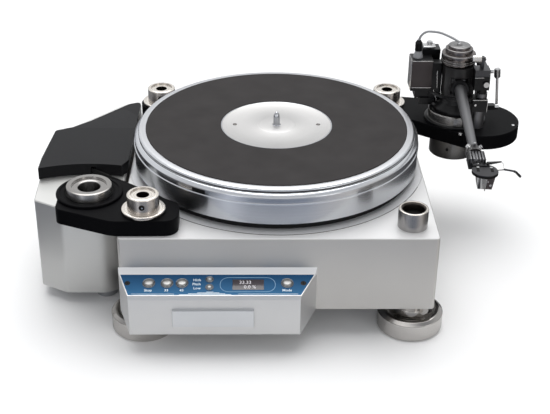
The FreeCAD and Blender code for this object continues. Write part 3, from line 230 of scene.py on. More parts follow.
def pale_metal(name, colour, rough, metal, top=None, split_z=0.0):
    """Pale anodised metal with a fine even grain; above split_z it may take a paler, less metallic top
    colour, a painted highlight for the brighter light on its top faces.
    """
    s = Shader(name, {"Metallic": metal})
    cloud = s.noise(9.0, 2.0)
    grain = s.noise(1100.0, 2.0)
    tone = s.blend(cloud, tinted(colour, 0.97), tinted(colour, 1.03))
    if top:
        # Painted highlight: above split_z the colour turns to the paler top and the metal drops, standing for
        # the light the top faces catch.
        height = s.split(s.coords)["Z"]
        above = s.share(height, (split_z - 0.2) * MM, (split_z + 0.2) * MM, "SMOOTHSTEP")
        tone = s.mix(above, tone, top)
        s.link(s.spread(above, metal, 0.35), s.bsdf.inputs["Metallic"])
    s.colour(tone)
    s.roughness(grain, rough * 0.9, rough * 1.1)
    s.bump(grain, 0.03)
    return s.mat


def polished_flat(name, colour, rough=0.2):
    """Smooth bright metal with a soft, slow change of tone and gloss."""
    s = Shader(name, {"Metallic": 1.0})
    s.tone(s.noise(45.0, 2.0), colour, 0.93, 1.04)
    s.roughness(s.noise(120.0, 2.0), rough * 0.8, rough * 1.25)
    return s.mat


def streaked_metal(name, colour, rough=0.12, bands=900.0, depth=0.03):
    """Polished upright side: faint level turning lines that depend on height alone."""
    s = Shader(name, {"Metallic": 1.0})
    lines = s.noise(bands, 2.0, (0.0, 0.0, 1.0))
    s.tone(lines, colour, 0.94, 1.05)
    s.roughness(lines, rough * 0.8, rough * 1.3)
    s.bump(lines, depth)
    return s.mat


def reflection_banded_metal(name, low, high):
    """Bright plated metal with painted reflections: its tone changes in upright bands of painted highlight
    and painted shade.
    """
    s = Shader(name, {"Metallic": 1.0})
    bands = s.noise(210.0, 1.0, (1.0, 1.0, 0.0))
    # Painted reflections: dark, bright and dark again across upright bands.
    s.colour(s.ramp(bands, [(0.38, low), (0.5, high), (0.6, tinted(high, 0.4))]))
    s.roughness(bands, 0.2, 0.32)
    return s.mat


def turned_side(name, colour, rough=0.24):
    """Turned upright side: its fine rings draw highlights out into upright streaks."""
    s = Shader(name, {"Metallic": 1.0, "Anisotropic": 0.85, "Anisotropic Rotation": 0.25})
    around = s.add("ShaderNodeTangent", direction_type="RADIAL", axis="Z")
    s.link(around.outputs["Tangent"], s.bsdf.inputs["Tangent"])
    lines = s.noise(900.0, 2.0, (0.0, 0.0, 1.0))
    s.tone(lines, colour, 0.94, 1.05)
    s.roughness(lines, rough * 0.85, rough * 1.2)
    return s.mat


M = {
    # The chassis and console take a painted highlight: above their split heights they turn paler and less
    # metallic.
    "chassis": pale_metal("chassis_satin", srgb(198, 196, 193), 0.42, 0.8, srgb(226, 226, 226), -47.0),
    "plate": blasted_metal("plate_satin", srgb(180, 182, 185), 0.36),
    "base": pale_metal("base_satin", srgb(226, 227, 229), 0.42, 0.4),
    "housing": blasted_metal("housing_satin", srgb(210, 210, 208), 0.46),
    "console": pale_metal("console_satin", srgb(214, 214, 214), 0.44, 0.9, srgb(232, 232, 232), -88.0),
    "polished": turned_side("polished_side", srgb(198, 200, 204), 0.2),
    "bevel": turned_metal("bevel_turned", srgb(230, 232, 236), (0, 0), 0.24, 2200.0, 0.04),
    "annulus": turned_metal("annulus_satin", srgb(204, 205, 208), (0, 0), 0.36, 1500.0, 0.06),
    "label": turned_metal("label_brushed", srgb(198, 197, 196), (0, 0), 0.42, 1200.0, 0.05),
    "track": turned_metal("track_dark", srgb(60, 63, 68), (0, 0), 0.3),
    "mat": moulded("mat_rubber", srgb(58, 56, 56), 0.8, 1400.0, 0.1),
    "belt": moulded("belt_rubber", srgb(10, 10, 11), 0.6),
    "steel": streaked_metal("steel_ground", srgb(196, 198, 202), 0.12),
    "hub": turned_side("hub_side", srgb(184, 178, 172)),
    "collar": turned_side("collar_side", srgb(176, 174, 172)),
    "hub_top": polished_flat("hub_top", srgb(216, 211, 204), 0.2),
    "post": turned_side("post_side", srgb(160, 158, 157)),
    "board": satin_black("board_black", srgb(8, 8, 10), 0.42, 700.0, 0.04),
    "cover": satin_black("cover_black", srgb(25, 25, 27), 0.46, 700.0, 0.14),
    "black": satin_black("part_black", srgb(13, 13, 14), 0.3, 700.0, 0.3),
    "yoke": satin_black("yoke_black", srgb(40, 39, 39), 0.32, 700.0, 0.35),
    "bore": streaked_metal("bore_dark", srgb(88, 82, 78), 0.3, 400.0, 0.1),
    # Flat black: painted shade in screw holes and the platter's groove; plain black on the speed mark, the
    # headshell's rim and slots and the posts' recess floors.
    "hole": moulded("black_and_hole_shade", srgb(8, 8, 8), 0.7),
    "dark_chrome": turned_side("dark_chrome", srgb(112, 111, 110)),
    "foot_side": turned_side("foot_side", srgb(208, 205, 202)),
    "foot_top": streaked_metal("foot_top", srgb(170, 167, 164), 0.12),
    "button": polished_flat("button_silver", srgb(150, 150, 149), 0.3),
    "bezel": streaked_metal("button_bezel", srgb(120, 126, 134), 0.14),
    "tube": blasted_metal("tube_grey", srgb(122, 122, 124), 0.4, 1500.0),
    "tube_dark": blasted_metal("tube_dark", srgb(84, 84, 86), 0.34, 1500.0),
    "cap": streaked_metal("cap_side", srgb(120, 114, 112), 0.2, 500.0, 0.1),
    "cap_top": blasted_metal("cap_top", srgb(142, 141, 141), 0.34, 1500.0),
    "clamp": blasted_metal("clamp_grey", srgb(92, 90, 90), 0.34, 1500.0),
    "ring_dark": turned_side("ring_dark", srgb(140, 138, 136)),
    "silver": polished_flat("part_silver", srgb(214, 214, 214), 0.2),
    "lead": moulded("lead_grey", srgb(150, 151, 153), 0.4),
    "brass": blasted_metal("brass_part", srgb(196, 164, 96), 0.3),
    "circuit": moulded("circuit_green", srgb(24, 84, 48), 0.45),
    "socket": moulded("socket_black", srgb(14, 14, 15), 0.45),
    "weight": streaked_metal("weight_steel", srgb(84, 84, 88), 0.2),
    "plate_bare": blasted_metal("nameplate_bare", srgb(208, 210, 213), 0.3),
    "box_front": satin_black("box_front", srgb(66, 60, 60), 0.3),
    "edge": polished_flat("edge_bright", srgb(206, 204, 202), 0.24),
    "shell": blasted_metal("shell_grey", srgb(70, 70, 72), 0.34, 1500.0),
    # The cartridge's upright bands are painted reflections.
    "cartridge": reflection_banded_metal("cartridge_metal", srgb(70, 70, 70), srgb(240, 238, 232)),
    "ink": moulded("ink_white", srgb(226, 238, 246), 0.5),
    "ink_soft": moulded("ink_soft", srgb(132, 168, 196), 0.5),
    "digits": lit("digits_pale", srgb(206, 204, 208), 0.35),
}


def panel_paint_and_light():
    """Blue panel paint, with painted shade deepening it at its top edge and painted light paling it towards
    the foot.
    """
    s = Shader("panel_blue", {"Metallic": 0.1, "Specular IOR Level": 0.2})
    down = s.share(s.split(s.coords)["Y"], PANEL_TOP.y * MM, PANEL_FOOT.y * MM)
    # Painted shade at the top edge and painted light towards the foot, along the slope.
    s.colour(s.ramp(down, [(0.0, srgb(18, 68, 108)), (0.7, srgb(24, 84, 126)), (1.0, srgb(38, 98, 138))]))
    grains = s.noise(900.0, 2.0)
    s.roughness(grains, 0.34, 0.44)
    s.bump(grains, 0.05, 0.03)
    return s.mat


def window_glass():
    """Dark tinted window."""
    s = Shader("window_dark", {"Coat Weight": 0.6})
    cloud = s.noise(60.0, 2.0)
    s.colour(s.blend(cloud, srgb(36, 30, 38), srgb(46, 36, 46)))
    s.roughness(cloud, 0.12, 0.2)
    return s.mat


M["panel"] = panel_paint_and_light()
M["window"] = window_glass()


# Meshes

# Millimetres; a radius or an edge below this counts as none
TINY = 0.01
# Share of an edge that easing may take from each end
EDGE_SHARE = 0.4


def finish_piece(obj, mats, body, replaces=()):
    """Give a new piece its materials and body, and hide the CAD parts it replaces."""
    for mat in mats if isinstance(mats, (list, tuple)) else [mats]:
        obj.data.materials.append(M[mat] if isinstance(mat, str) else mat)
    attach(obj, body)
    if replaces:
        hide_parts(*replaces)


def from_bmesh(name, bm, sharp=35.0):
    mesh = bpy.data.meshes.new(name)
    bmesh.ops.recalc_face_normals(bm, faces=bm.faces)
    bm.to_mesh(mesh)
    bm.free()
    for poly in mesh.polygons:
        poly.use_smooth = True
    mesh.set_sharp_from_angle(angle=math.radians(sharp))
    obj = bpy.data.objects.new(name, mesh)
    bpy.context.scene.collection.objects.link(obj)
    return obj


def eased(profile, amount):
    """Cut each corner of a closed (r, z) profile, so that edges catch the light."""
    out = []
    count = len(profile)
    for i in range(count):
        p = Vector(profile[i][:2])
        tag = profile[i][2] if len(profile[i]) > 2 else 0
        before = Vector(profile[i - 1][:2]) - p
        after = Vector(profile[(i + 1) % count][:2]) - p
        if p.x < TINY or before.length < TINY or after.length < TINY:
            out.append((p.x, p.y, tag))
            continue
        cut = min(amount, before.length * EDGE_SHARE, after.length * EDGE_SHARE)
        a = p + before.normalized() * cut
        b = p + after.normalized() * cut
        out.append((a.x, a.y, tag))
        out.append((b.x, b.y, tag))
    return out


def lathe_into(bm, profile, centre, segments=96, ease=0.25):
    """Add a turned solid; each profile corner may carry the material index of what follows it."""
    points = eased(profile, ease)
    rings = []
    for r, z, _ in points:
        if r < TINY:
            rings.append([bm.verts.new((centre[0] * MM, centre[1] * MM, z * MM))])
            continue
        row = []
        for i in range(segments):
            a = 2 * math.pi * i / segments
            row.append(bm.verts.new(((centre[0] + r * math.cos(a)) * MM,
                                     (centre[1] + r * math.sin(a)) * MM, z * MM)))
        rings.append(row)
    for k in range(len(points)):
        low = rings[k]
        high = rings[(k + 1) % len(points)]
        if len(low) == 1 and len(high) == 1:
            continue
        for i in range(segments):
            j = (i + 1) % segments
            corners = []
            for vert in (low[i % len(low)], low[j % len(low)], high[j % len(high)], high[i % len(high)]):
                if vert not in corners:
                    corners.append(vert)
            face = bm.faces.new(corners)
            face.material_index = points[k][2]


def lathe(name, profile, centre, mats, body, replaces=(), segments=96, ease=0.25):
    bm = bmesh.new()
    lathe_into(bm, profile, centre, segments, ease)
    finish_piece(from_bmesh(name, bm), mats, body, replaces)


def box_into(bm, low, high, ease=0.3):
    """Add an eased box between two corners."""
    start = len(bm.verts)
    made = bmesh.ops.create_cube(bm, size=1.0)["verts"]
    size = Vector(high) - Vector(low)
    middle = (Vector(high) + Vector(low)) / 2
    for v in made:
        v.co = Vector((v.co.x * size.x, v.co.y * size.y, v.co.z * size.z)) + middle
    edges = {e for v in made for e in v.link_edges}
    bmesh.ops.bevel(bm, geom=list(edges), offset=ease, segments=2, profile=0.5, affect="EDGES")
    bm.verts.ensure_lookup_table()
    for v in bm.verts[start:]:
        v.co = v.co * MM


def rod_into(bm, start, end, r0, r1=None, segments=24):
    """Add a straight round rod, which may taper."""
    r1 = r0 if r1 is None else r1
    a = Vector(start)
    b = Vector(end)
    along = (b - a).normalized()
    side = along.orthogonal().normalized()
    other = along.cross(side)
    rings = []
    for centre, r in ((a, r0), (b, r1)):
        row = []
        for i in range(segments):
            t = 2 * math.pi * i / segments
            row.append(bm.verts.new((centre + side * (r * math.cos(t)) + other * (r * math.sin(t))) * MM))
        rings.append(row)
    for i in range(segments):
        j = (i + 1) % segments
        bm.faces.new((rings[0][i], rings[0][j], rings[1][j], rings[1][i]))
    bm.faces.new(rings[0][::-1])
    bm.faces.new(rings[1])


def band_into(bm, corners, first, last, steps):
    """Add a curved bar round the spindle, from four (r, z) corners and two headings in degrees."""
    a0, a1 = math.radians(first), math.radians(last)
    rows = []
    for r, z in corners:
        row = []
        for i in range(steps + 1):
            a = a0 + (a1 - a0) * i / steps
            row.append(bm.verts.new((r * math.cos(a) * MM, r * math.sin(a) * MM, z * MM)))
        rows.append(row)
    for k in range(4):
        upper = rows[(k + 1) % 4]
        for i in range(steps):
            bm.faces.new((rows[k][i], rows[k][i + 1], upper[i + 1], upper[i]))


def built(name, build, mats, body):
    """Piece from a function that fills a bmesh."""
    bm = bmesh.new()
    build(bm)
    finish_piece(from_bmesh(name, bm), mats, body)


def rods(name, ends, mats, body, segments=24):
    """Piece made of straight rods, each given as rod_into takes it."""
    def build(bm):
        for rod in ends:
            rod_into(bm, *rod, segments=segments)
    built(name, build, mats, body)


def boxes(name, corners, mats, body, ease=0.1, add=box_into):
    """Piece made of eased boxes, each given by its low and high corner."""
    def build(bm):
        for low, high in corners:
            add(bm, low, high, ease)
    built(name, build, mats, body)


# Finishes of the CAD nodes that keep their shape

CAD_FINISH = {
    "chassis": "chassis", "bottom_plate": "plate", "base_plate": "base", "link_sockets": "socket",
    "bearing_sleeve": "brass", "corner_posts": "post", "clamp_hubs": "hub", "rear_spacer": "board",
    "bearing_shaft": "steel", "spindle": "steel", "platter": "polished", "platter_mat": "mat",
    "label_disc": "label", "label_screws": "bore", "belt": "belt", "motor_pulley": "plate",
    "motor_shaft": "steel", "motor": "plate", "motor_housing": "housing", "motor_base": "plate",
    "motor_cover": "cover", "console_housing": "console", "control_panel": "panel",
    "panel_screws": "black", "display_window": "window", "control_board": "circuit",
    "nameplate": "plate_bare", "left_armboard": "board", "collar_disc": "black", "arm_collar": "collar",
    "right_armboard": "board", "board_pins": "silver", "arm_base": "ring_dark", "arm_pillar": "black",
    "lead_block": "black", "lead_plug": "socket", "lead_loop": "lead", "height_column": "black",
    "column_bridge": "tube_dark", "height_knob": "silver", "lock_knob": "silver",
    "adjuster_knob": "silver", "cue_rod": "black", "cue_lever": "silver", "arm_yoke": "yoke",
    "bearing_cap": "cap", "arm_tube": "tube", "counterweight": "weight", "headshell": "shell",
    "cartridge": "cartridge",
}


def dress_nodes():
    """Give every CAD node its finish."""
    for name, obj in NODES.items():
        key = CAD_FINISH.get(name)
        if key is None:
            key = "button" if name.startswith("button") else "foot_side"
        obj.data.materials.clear()
        obj.data.materials.append(M[key])


dress_nodes()


# Platter

def make_platter():
    """Turned platter: satin land, groove, polished bevel and side, belt track."""
    # The groove below the land's edge is flat black: painted shade.
    profile = [(144.9, -2.4, 1), (144.9, -1.0, 1), (151.9, -1.0, 4), (153.5, -2.6, 0), (153.5, -3.5, 2),
               (152.4, -3.5, 2), (152.4, -5.3, 4), (154.0, -5.3, 4), (157.7, -8.8, 0), (157.7, -15.1, 4),
               (158.5, -15.1, 4), (158.5, -16.8, 0), (158.0, -16.8, 0), (158.0, -38.4, 3),
               (153.0, -38.4, 3), (153.0, -45.9, 3), (137.0, -45.9, 3), (137.0, -20.0, 3),
               (20.0, -20.0, 3), (20.0, -4.0, 3), (120.0, -4.0, 3)]
    lathe("platter_turned", profile, (0, 0), ["polished", "annulus", "hole", "track", "bevel"],
          "platter_body", ("platter",), 256, 0.3)


def make_platter_top():
    """Mat, label disc with its bright rim, and the spindle."""
    lathe("mat_turned", [(62.3, -2.5), (145.0, -2.5), (145.0, 0.0), (62.3, 0.0)], (0, 0), "mat",
          "platter_body", ("platter_mat",), 192, 0.35)
    lathe("label_turned", [(4.7, -2.4), (62.0, -2.4), (62.0, -0.6, 1), (60.6, -0.6), (60.3, -0.9),
                           (21.2, -0.9), (20.8, -0.7), (4.7, -0.7)], (0, 0), ["label", "steel"],
          "platter_body", ("label_disc",), 192, 0.12)
    lathe("spindle_turned", [(0, -21.0), (3.6, -21.0), (3.6, -8.0), (4.6, -8.0), (4.6, -1.3), (4.1, -0.8),
                             (3.6, -0.8), (3.6, 9.0), (2.9, 11.6), (1.5, 14.0), (0, 15.0)], (0, 0),
          "steel", "platter_body", ("spindle",), 64, 0.1)


def make_speed_mark():
    """Black mark on the platter's upper wall, for counting its turns."""
    corners = ((157.6, -9.8), (157.82, -9.8), (157.82, -14.6), (157.6, -14.6))
    built("speed_mark", lambda bm: band_into(bm, corners, 236.0, 241.6, 12), "hole", "platter_body")


def make_base_seam():
    """Dark line where the round base plate meets the chassis top, in front."""
    corners = ((164.75, -46.7), (164.75, SEAM_TOP), (165.35, SEAM_TOP), (165.35, -46.7))
    built("base_seam", lambda bm: band_into(bm, corners, 202.0, 338.0, 96), "bore", "root")


# Posts, hubs and feet

def make_posts():
    """Corner posts with their rounded rim and black recess."""
    profile = [(0, -68.5, 0), (6.0, -68.5, 0), (6.0, -46.5, 0), (15.4, -46.5, 0), (15.4, -26.3, 1),
               (14.8, -25.7, 1), (12.7, -25.7, 2), (11.1, -27.3, 2), (11.1, -34.7, 3), (0, -34.7, 3)]
    bm = bmesh.new()
    for at in POSTS.values():
        lathe_into(bm, profile, at, 96, 0.2)
    finish_piece(from_bmesh("posts_turned", bm), ["post", "hub_top", "bore", "hole"], "root",
                 ("corner_posts",))


def make_hubs():
    """Clamp hubs on every post but the bare one, each with its set screw."""
    profile = [(6.4, -28.9, 0), (21.8, -28.9, 0), (22.4, -28.3, 0), (22.4, -25.9, 1), (21.8, -25.3, 1),
               (16.3, -25.3, 0), (16.3, -10.3, 1), (15.3, -9.3, 1), (12.7, -9.3, 0), (12.7, -10.9, 1),
               (6.4, -10.9, 2)]
    places = {label: at for label, at in POSTS.items() if label != BARE_POST}
    for label, at in places.items():
        top = turned_metal("hub_top_" + label, srgb(240, 234, 226), at, 0.24, 2400.0, 0.12)
        replaces = ("clamp_hubs",) if label == "front_left" else ()
        lathe("hub_turned_" + label, profile, at, ["hub", top, "bore"], "root", replaces,
              128, 0.15)
    hole_z, screw_z, screw_dx = -17.3, -17.6, 0.3
    # Black discs standing in the screw holes: painted shade.
    rods("hub_screw_holes", [((x, y - 16.42, hole_z), (x, y - 14.0, hole_z), 3.0)
                             for x, y in places.values()], "hole", "root", 32)
    rods("hub_screws", [((x + screw_dx, y - 16.5, screw_z), (x + screw_dx, y - 16.3, screw_z), 0.8)
                        for x, y in places.values()], "steel", "root", 16)


def make_left_collar():
    """Polished arm collar with its open bore, and the stepped disc under it."""
    top = turned_metal("collar_top", srgb(176, 173, 170), COLLAR, 0.13, 2400.0, 0.12)
    lathe("collar_turned", [(11.5, -46.0, 2), (19.6, -46.0, 0), (19.6, -29.2, 0), (23.6, -29.2, 0),
                            (23.6, -19.6, 1), (23.0, -19.0, 1), (18.3, -19.0, 0), (18.3, -21.2, 1),
                            (12.3, -21.2, 0), (11.5, -22.0, 3)], COLLAR,
          ["collar", top, "hole", "dark_chrome"], "left_board_body", ("arm_collar",),
          128, 0.2)
    lathe("collar_step", [(23.8, -29.2), (34.5, -29.2), (34.5, -27.2), (33.7, -26.4), (31.0, -26.4),
                          (31.0, -27.2), (26.5, -27.2), (25.4, -28.4), (23.8, -28.4)], COLLAR, "board",
          "left_board_body", ("collar_disc",), 128, 0.2)


def make_feet():
    """Round feet with their stepped caps and plain stems."""
    places = {"foot_front_left": (-140.6, -151.0), "foot_front_right": (140.6, -151.0),
              "foot_rear_left": (-126.0, 121.0), "foot_rear_right": (126.0, 121.0)}
    profile = [(0, FLOOR_Z, 0), (32.0, FLOOR_Z, 0), (34.6, -162.4, 0), (34.6, -145.6, 1), (34.0, -145.6, 1),
               (31.0, -142.4, 1), (25.6, -142.4, 1), (24.6, -143.6, 1), (19.0, -143.6, 1),
               (15.0, -139.9, 1), (15.0, -131.9, 1), (6.0, -131.9, 1), (6.0, -108.5, 1), (0, -108.5, 1)]
    for name, at in places.items():
        lathe(name + "_turned", profile, at, ["foot_side", "foot_top"], name + "_body",
              (name,), 128, 0.3)


# Tonearm

def arm_place(x, y, z):
    """Point drawn straight ahead of the arm's axis, turned into the parked lean."""
    dx = x - ARM[0]
    dy = y - ARM[1]
    c, s = math.cos(-ARM_TURN), math.sin(-ARM_TURN)
    return (ARM[0] + dx * c - dy * s, ARM[1] + dx * s + dy * c, z)


def arm_box(bm, low, high, ease=0.2):
    """Box drawn straight ahead of the arm's axis, then leaned with the arm."""
    start = len(bm.verts)
    box_into(bm, low, high, ease)
    bm.verts.ensure_lookup_table()
    for v in bm.verts[start:]:
        x, y, z = arm_place(v.co.x / MM, v.co.y / MM, v.co.z / MM)
        v.co = (x * MM, y * MM, z * MM)


def arm_rod(start, end, *radii):
    """Ends and radii of a rod drawn straight ahead of the arm's axis."""
    return (arm_place(*start), arm_place(*end)) + radii


def loft_into(bm, low, high):
    """Add a solid between two four-cornered ends, given in metres."""
    a = [bm.verts.new(v) for v in low]
    b = [bm.verts.new(v) for v in high]
    for i in range(4):
        j = (i + 1) % 4
        bm.faces.new((a[i], a[j], b[j], b[i]))
    bm.faces.new(a)
    bm.faces.new(b)


def make_arm_base():
    """Stepped base with its collar under the board, and the pillar on it."""
    x, y = ARM
    lathe("arm_base_turned", [(14, -72.8, 0), (26.2, -72.8, 0), (27, -72.0, 0), (27, -46.8, 0),
                              (26.2, -46.0, 0), (22, -46.0, 0), (22, -29.2, 1), (36, -29.2, 1),
                              (36, -27.0, 1), (35.2, -26.2, 1), (32, -26.2, 2), (32, -17.2, 2),
                              (30.8, -16.0, 1), (27, -16.0, 1), (27, -17.0, 1), (14, -17.0, 1)], ARM,
          ["dark_chrome", "black", "ring_dark"], "right_board_body", ("arm_base",), 160, 0.2)
    lathe("arm_pillar_turned", [(6.05, -17), (26, -17), (26, -13), (19, -6), (19, -2), (18, -1), (6.05, -1)],
          ARM, "black", "right_board_body", ("arm_pillar",), 128, 0.3)
    # Black disc standing in the screw hole: painted shade.
    rods("collar_screw_hole", [((x - 10, y - 25.9, -60), (x - 10, y - 23.0, -60), 1.7)], "hole",
         "right_board_body")


def make_board_pins():
    """Flush screw heads near the edge of the right armboard."""
    bm = bmesh.new()
    for x, y, r in ((280.5, 60.0, 1.9), (214.4, 37.6, 2.3)):
        lathe_into(bm, [(0, -31.0), (r, -31.0), (r, -28.8), (r - 0.3, -28.6), (0, -28.6)], (x, y), 32, 0.1)
    finish_piece(from_bmesh("board_screws", bm), "silver", "right_board_body", ("board_pins",))


def make_cap():
    """Bearing cap with its steps, screws and the gland of the lead loop."""
    lathe("cap_turned", [(0, 40, 0), (16.7, 40, 0), (19.7, 42, 0), (19.7, 44.2, 2), (19.3, 44.6, 2),
                         (19.7, 45.0, 0), (19.7, 46.6, 2), (19.3, 47.0, 2), (19.7, 47.4, 0), (19.7, 53, 1),
                         (18.9, 54, 0), (15.8, 54, 0), (15.8, 59, 1), (15.0, 59.6, 0), (12.7, 59.6, 0),
                         (12.7, 62.4, 1), (11.9, 63, 1), (3, 63, 1), (3, 63.8, 1), (0, 63.8, 1)], CAP,
          ["cap", "cap_top", "ring_dark"], "yoke_body", ("bearing_cap",), 128, 0.15)
    screw_circle = 8.6
    ends = []
    for degrees in (20, 200, 290):
        a = math.radians(degrees)
        x, y = CAP[0] + screw_circle * math.cos(a), CAP[1] + screw_circle * math.sin(a)
        ends.append(((x, y, 62.6), (x, y, 63.4), 1.1))
    rods("cap_screws", ends, "silver", "yoke_body")
    x, y = ARM[0] - 2.4, ARM[1] + 1.1
    rods("lead_gland", [((x, y, 62.8), (x, y, 65.2), 2.2, 1.6)], "silver", "yoke_body")


def make_tube_details():
    """Root ring, clamp and finned coupling of the tube."""
    x, y = ARM
    rods("root_ring", [arm_rod((x, y - 24.2, TUBE_Z), (x, y - 28.4, TUBE_Z), 10.4, 10.0)], "black",
         "arm_body", 64)
    clamp_middle, clamp_r, screw_length = Vector((x, -106.0, TUBE_Z)), 7.0, 2.9
    ends = []
    for degrees, r in ((-50, 2.5), (0, 1.3), (50, 1.9)):
        a = math.radians(degrees)
        out = Vector((math.sin(a), 0, math.cos(a)))
        start = clamp_middle + out * clamp_r
        ends.append(arm_rod(start, start + out * screw_length, r, r * 0.9))
    rods("clamp_screws", ends, "silver", "arm_body")

    def clamp_body(bm):
        rod_into(bm, *arm_rod((x, -101.0, TUBE_Z), (x, -117.1, TUBE_Z), 5.9, 8.5), segments=64)
        arm_box(bm, (x - 8.4, -111.5, TUBE_Z - 4.5), (x - 4.5, -103.5, TUBE_Z + 2.0), 0.5)
    built("clamp_body", clamp_body, "clamp", "arm_body")

    def coupling(bm):
        arm_box(bm, (x - 8.4, -117.8, TUBE_Z - 5.6), (x + 8.4, -116.6, TUBE_Z + 5.4), 0.3)
        arm_box(bm, (x - 8.2, -137.0, TUBE_Z - 5.4), (x + 8.2, -117.0, TUBE_Z + 1.5), 0.5)
    built("coupling_block", coupling, "black", "arm_body")

    fin_step = 3.1
    fins = [x + (i - 2) * fin_step for i in range(5)]
    boxes("coupling_fins", [((at - 0.55, -136.4, TUBE_Z + 0.8), (at + 0.55, -117.6, TUBE_Z + 6.35))
                            for at in fins], "tube", "arm_body", 0.2, arm_box)
    side_at = 7.6
    sides = [x + side * side_at for side in (-1, 1)]
    boxes("coupling_sides", [((at - 0.9, -137.2, TUBE_Z - 4.5), (at + 0.9, -117.5, TUBE_Z + 6.5))
                             for at in sides], "black", "arm_body", 0.3, arm_box)


def make_shell_details():
    """Trims, lever, wire and finger lift of the headshell, and the cartridge's dark half with its screws."""
    x, y = SHELL
    z = TUBE_Z

    def rim(bm):
        lathe_into(bm, [(11.9, z - 1.7), (13.15, z - 1.7), (13.15, z + 0.7), (11.9, z + 0.7)],
                   arm_place(x, y, 0)[:2], 96, 0.1)
    built("shell_rim", rim, "hole", "arm_body")

    slot_at, screw_at = 7, 6.6
    slots = [x + side * slot_at for side in (-1, 1)]
    boxes("shell_slots", [((at - 1.5, y - 3.2, z - 1.2), (at + 1.5, y + 4.2, z + 1.6)) for at in slots],
          "hole", "arm_body", 0.05, arm_box)
    ends = [arm_rod((x + side * screw_at, y + 5.4, z + 1.4), (x + side * screw_at, y + 5.4, z + 2.2), 1.5)
            for side in (-1, 1)]
    ends.append(arm_rod((x - 6.5, y + 10.5, z + 2.0), (x - 6.5, y + 10.5, z + 3.4), 1.2))
    rods("shell_screws", ends, "silver", "arm_body")

    def lever(bm):
        root = ((9.0, -141.2, 20.6), (9.0, -137.6, 20.8), (9.0, -137.8, 23.0), (9.0, -141.0, 22.6))
        tip = ((24.4, -134.6, 21.0), (24.4, -133.4, 21.1), (24.4, -133.5, 22.2), (24.4, -134.5, 22.0))
        loft_into(bm, *([Vector(arm_place(ARM[0] + dx, ly, lz)) * MM for dx, ly, lz in end]
                        for end in (root, tip)))
    built("shell_lever", lever, "black", "arm_body")

    wire = [arm_place(ARM[0] + dx, wy, wz) for dx, wy, wz in
            ((24.4, -134.2, 21.6), (26.0, -139.0, 21.4), (25.4, -144.5, 20.4), (22.6, -147.6, 19.6))]
    rods("shell_wire", [(a, b, 0.32) for a, b in zip(wire, wire[1:])], "edge", "arm_body", 12)
    rods("finger_lift_root", [arm_rod((x + 12.0, y + 4.1, z + 0.3), (x + 18.5, y + 4.6, z + 1.0), 1.3)],
         "edge", "arm_body")
    bend = (x + 30.4, y + 1.6, z + 0.1)
    rods("finger_lift_end", [arm_rod((x + 28.6, y + 2.2, z + 0.5), bend, 1.15, 1.25),
                             arm_rod(bend, (x + 35.0, y - 1.4, z - 3.5), 1.25, 1.35)],
         "black", "arm_body")

    def cartridge_side(bm):
        ends = []
        for left, right, front, rear, height in ((1.6, 9.1, -10.1, 9.1, 16.9), (1.0, 7.1, -9.1, 7.1, 3.5)):
            corners = ((left, front), (right, front), (right, rear), (left, rear))
            places = [arm_place(x + dx, y + dy, 0) for dx, dy in corners]
            ends.append([(px * MM, py * MM, height * MM) for px, py, _ in places])
        loft_into(bm, *ends)
    built("cartridge_side", cartridge_side, "box_front", "arm_body")

    rods("cartridge_screws", [arm_rod((x + dx, y - 9.4, at), (x + dx, y - 10.3, at), r)
                              for dx, at, r in ((5.2, 8.5, 1.3), (2.6, 12.5, 0.7))],
         "hub_top", "arm_body")


def make_box_details():
    """Bright edges and faces of the lead box and of the adjuster behind it."""
    body = "right_board_body"
    boxes("lead_box_front", [((160.6, 87.45, 4.6), (184.4, 88.1, 39.4))], "box_front", body)
    boxes("lead_box_side", [((159.5, 88.2, 3.2), (160.1, 111.8, 39.9))], "edge", body)
    boxes("lead_box_trims", [((160.6, 87.4, 39.3), (184.6, 87.9, 40.0)),
                             ((161.2, 86.5, 6.4), (184.0, 87.0, 7.2))], "edge", body)
    boxes("adjuster_plate", [((175.4, 109.3, 47.8), (190.0, 121.5, 49.4))], "silver", body,
          0.3)
    lathe("plug_foot", [(2.0, 40.0), (5.6, 40.0), (5.6, 42.0), (3.6, 48.2), (2.0, 48.2)], (168.0, 100.0),
          "lead", body, (), 48, 0.2)
    rods("bracket_trims", [((187.5, 88.2, 4.0), (193.0, 87.2, -12.0), 0.8),
                           ((190.5, 87.6, 28.0), (191.5, 87.6, 6.0), 0.7),
                           ((188.2, 86.6, -13.0), (188.2, 84.6, -13.0), 1.6)], "edge", body)


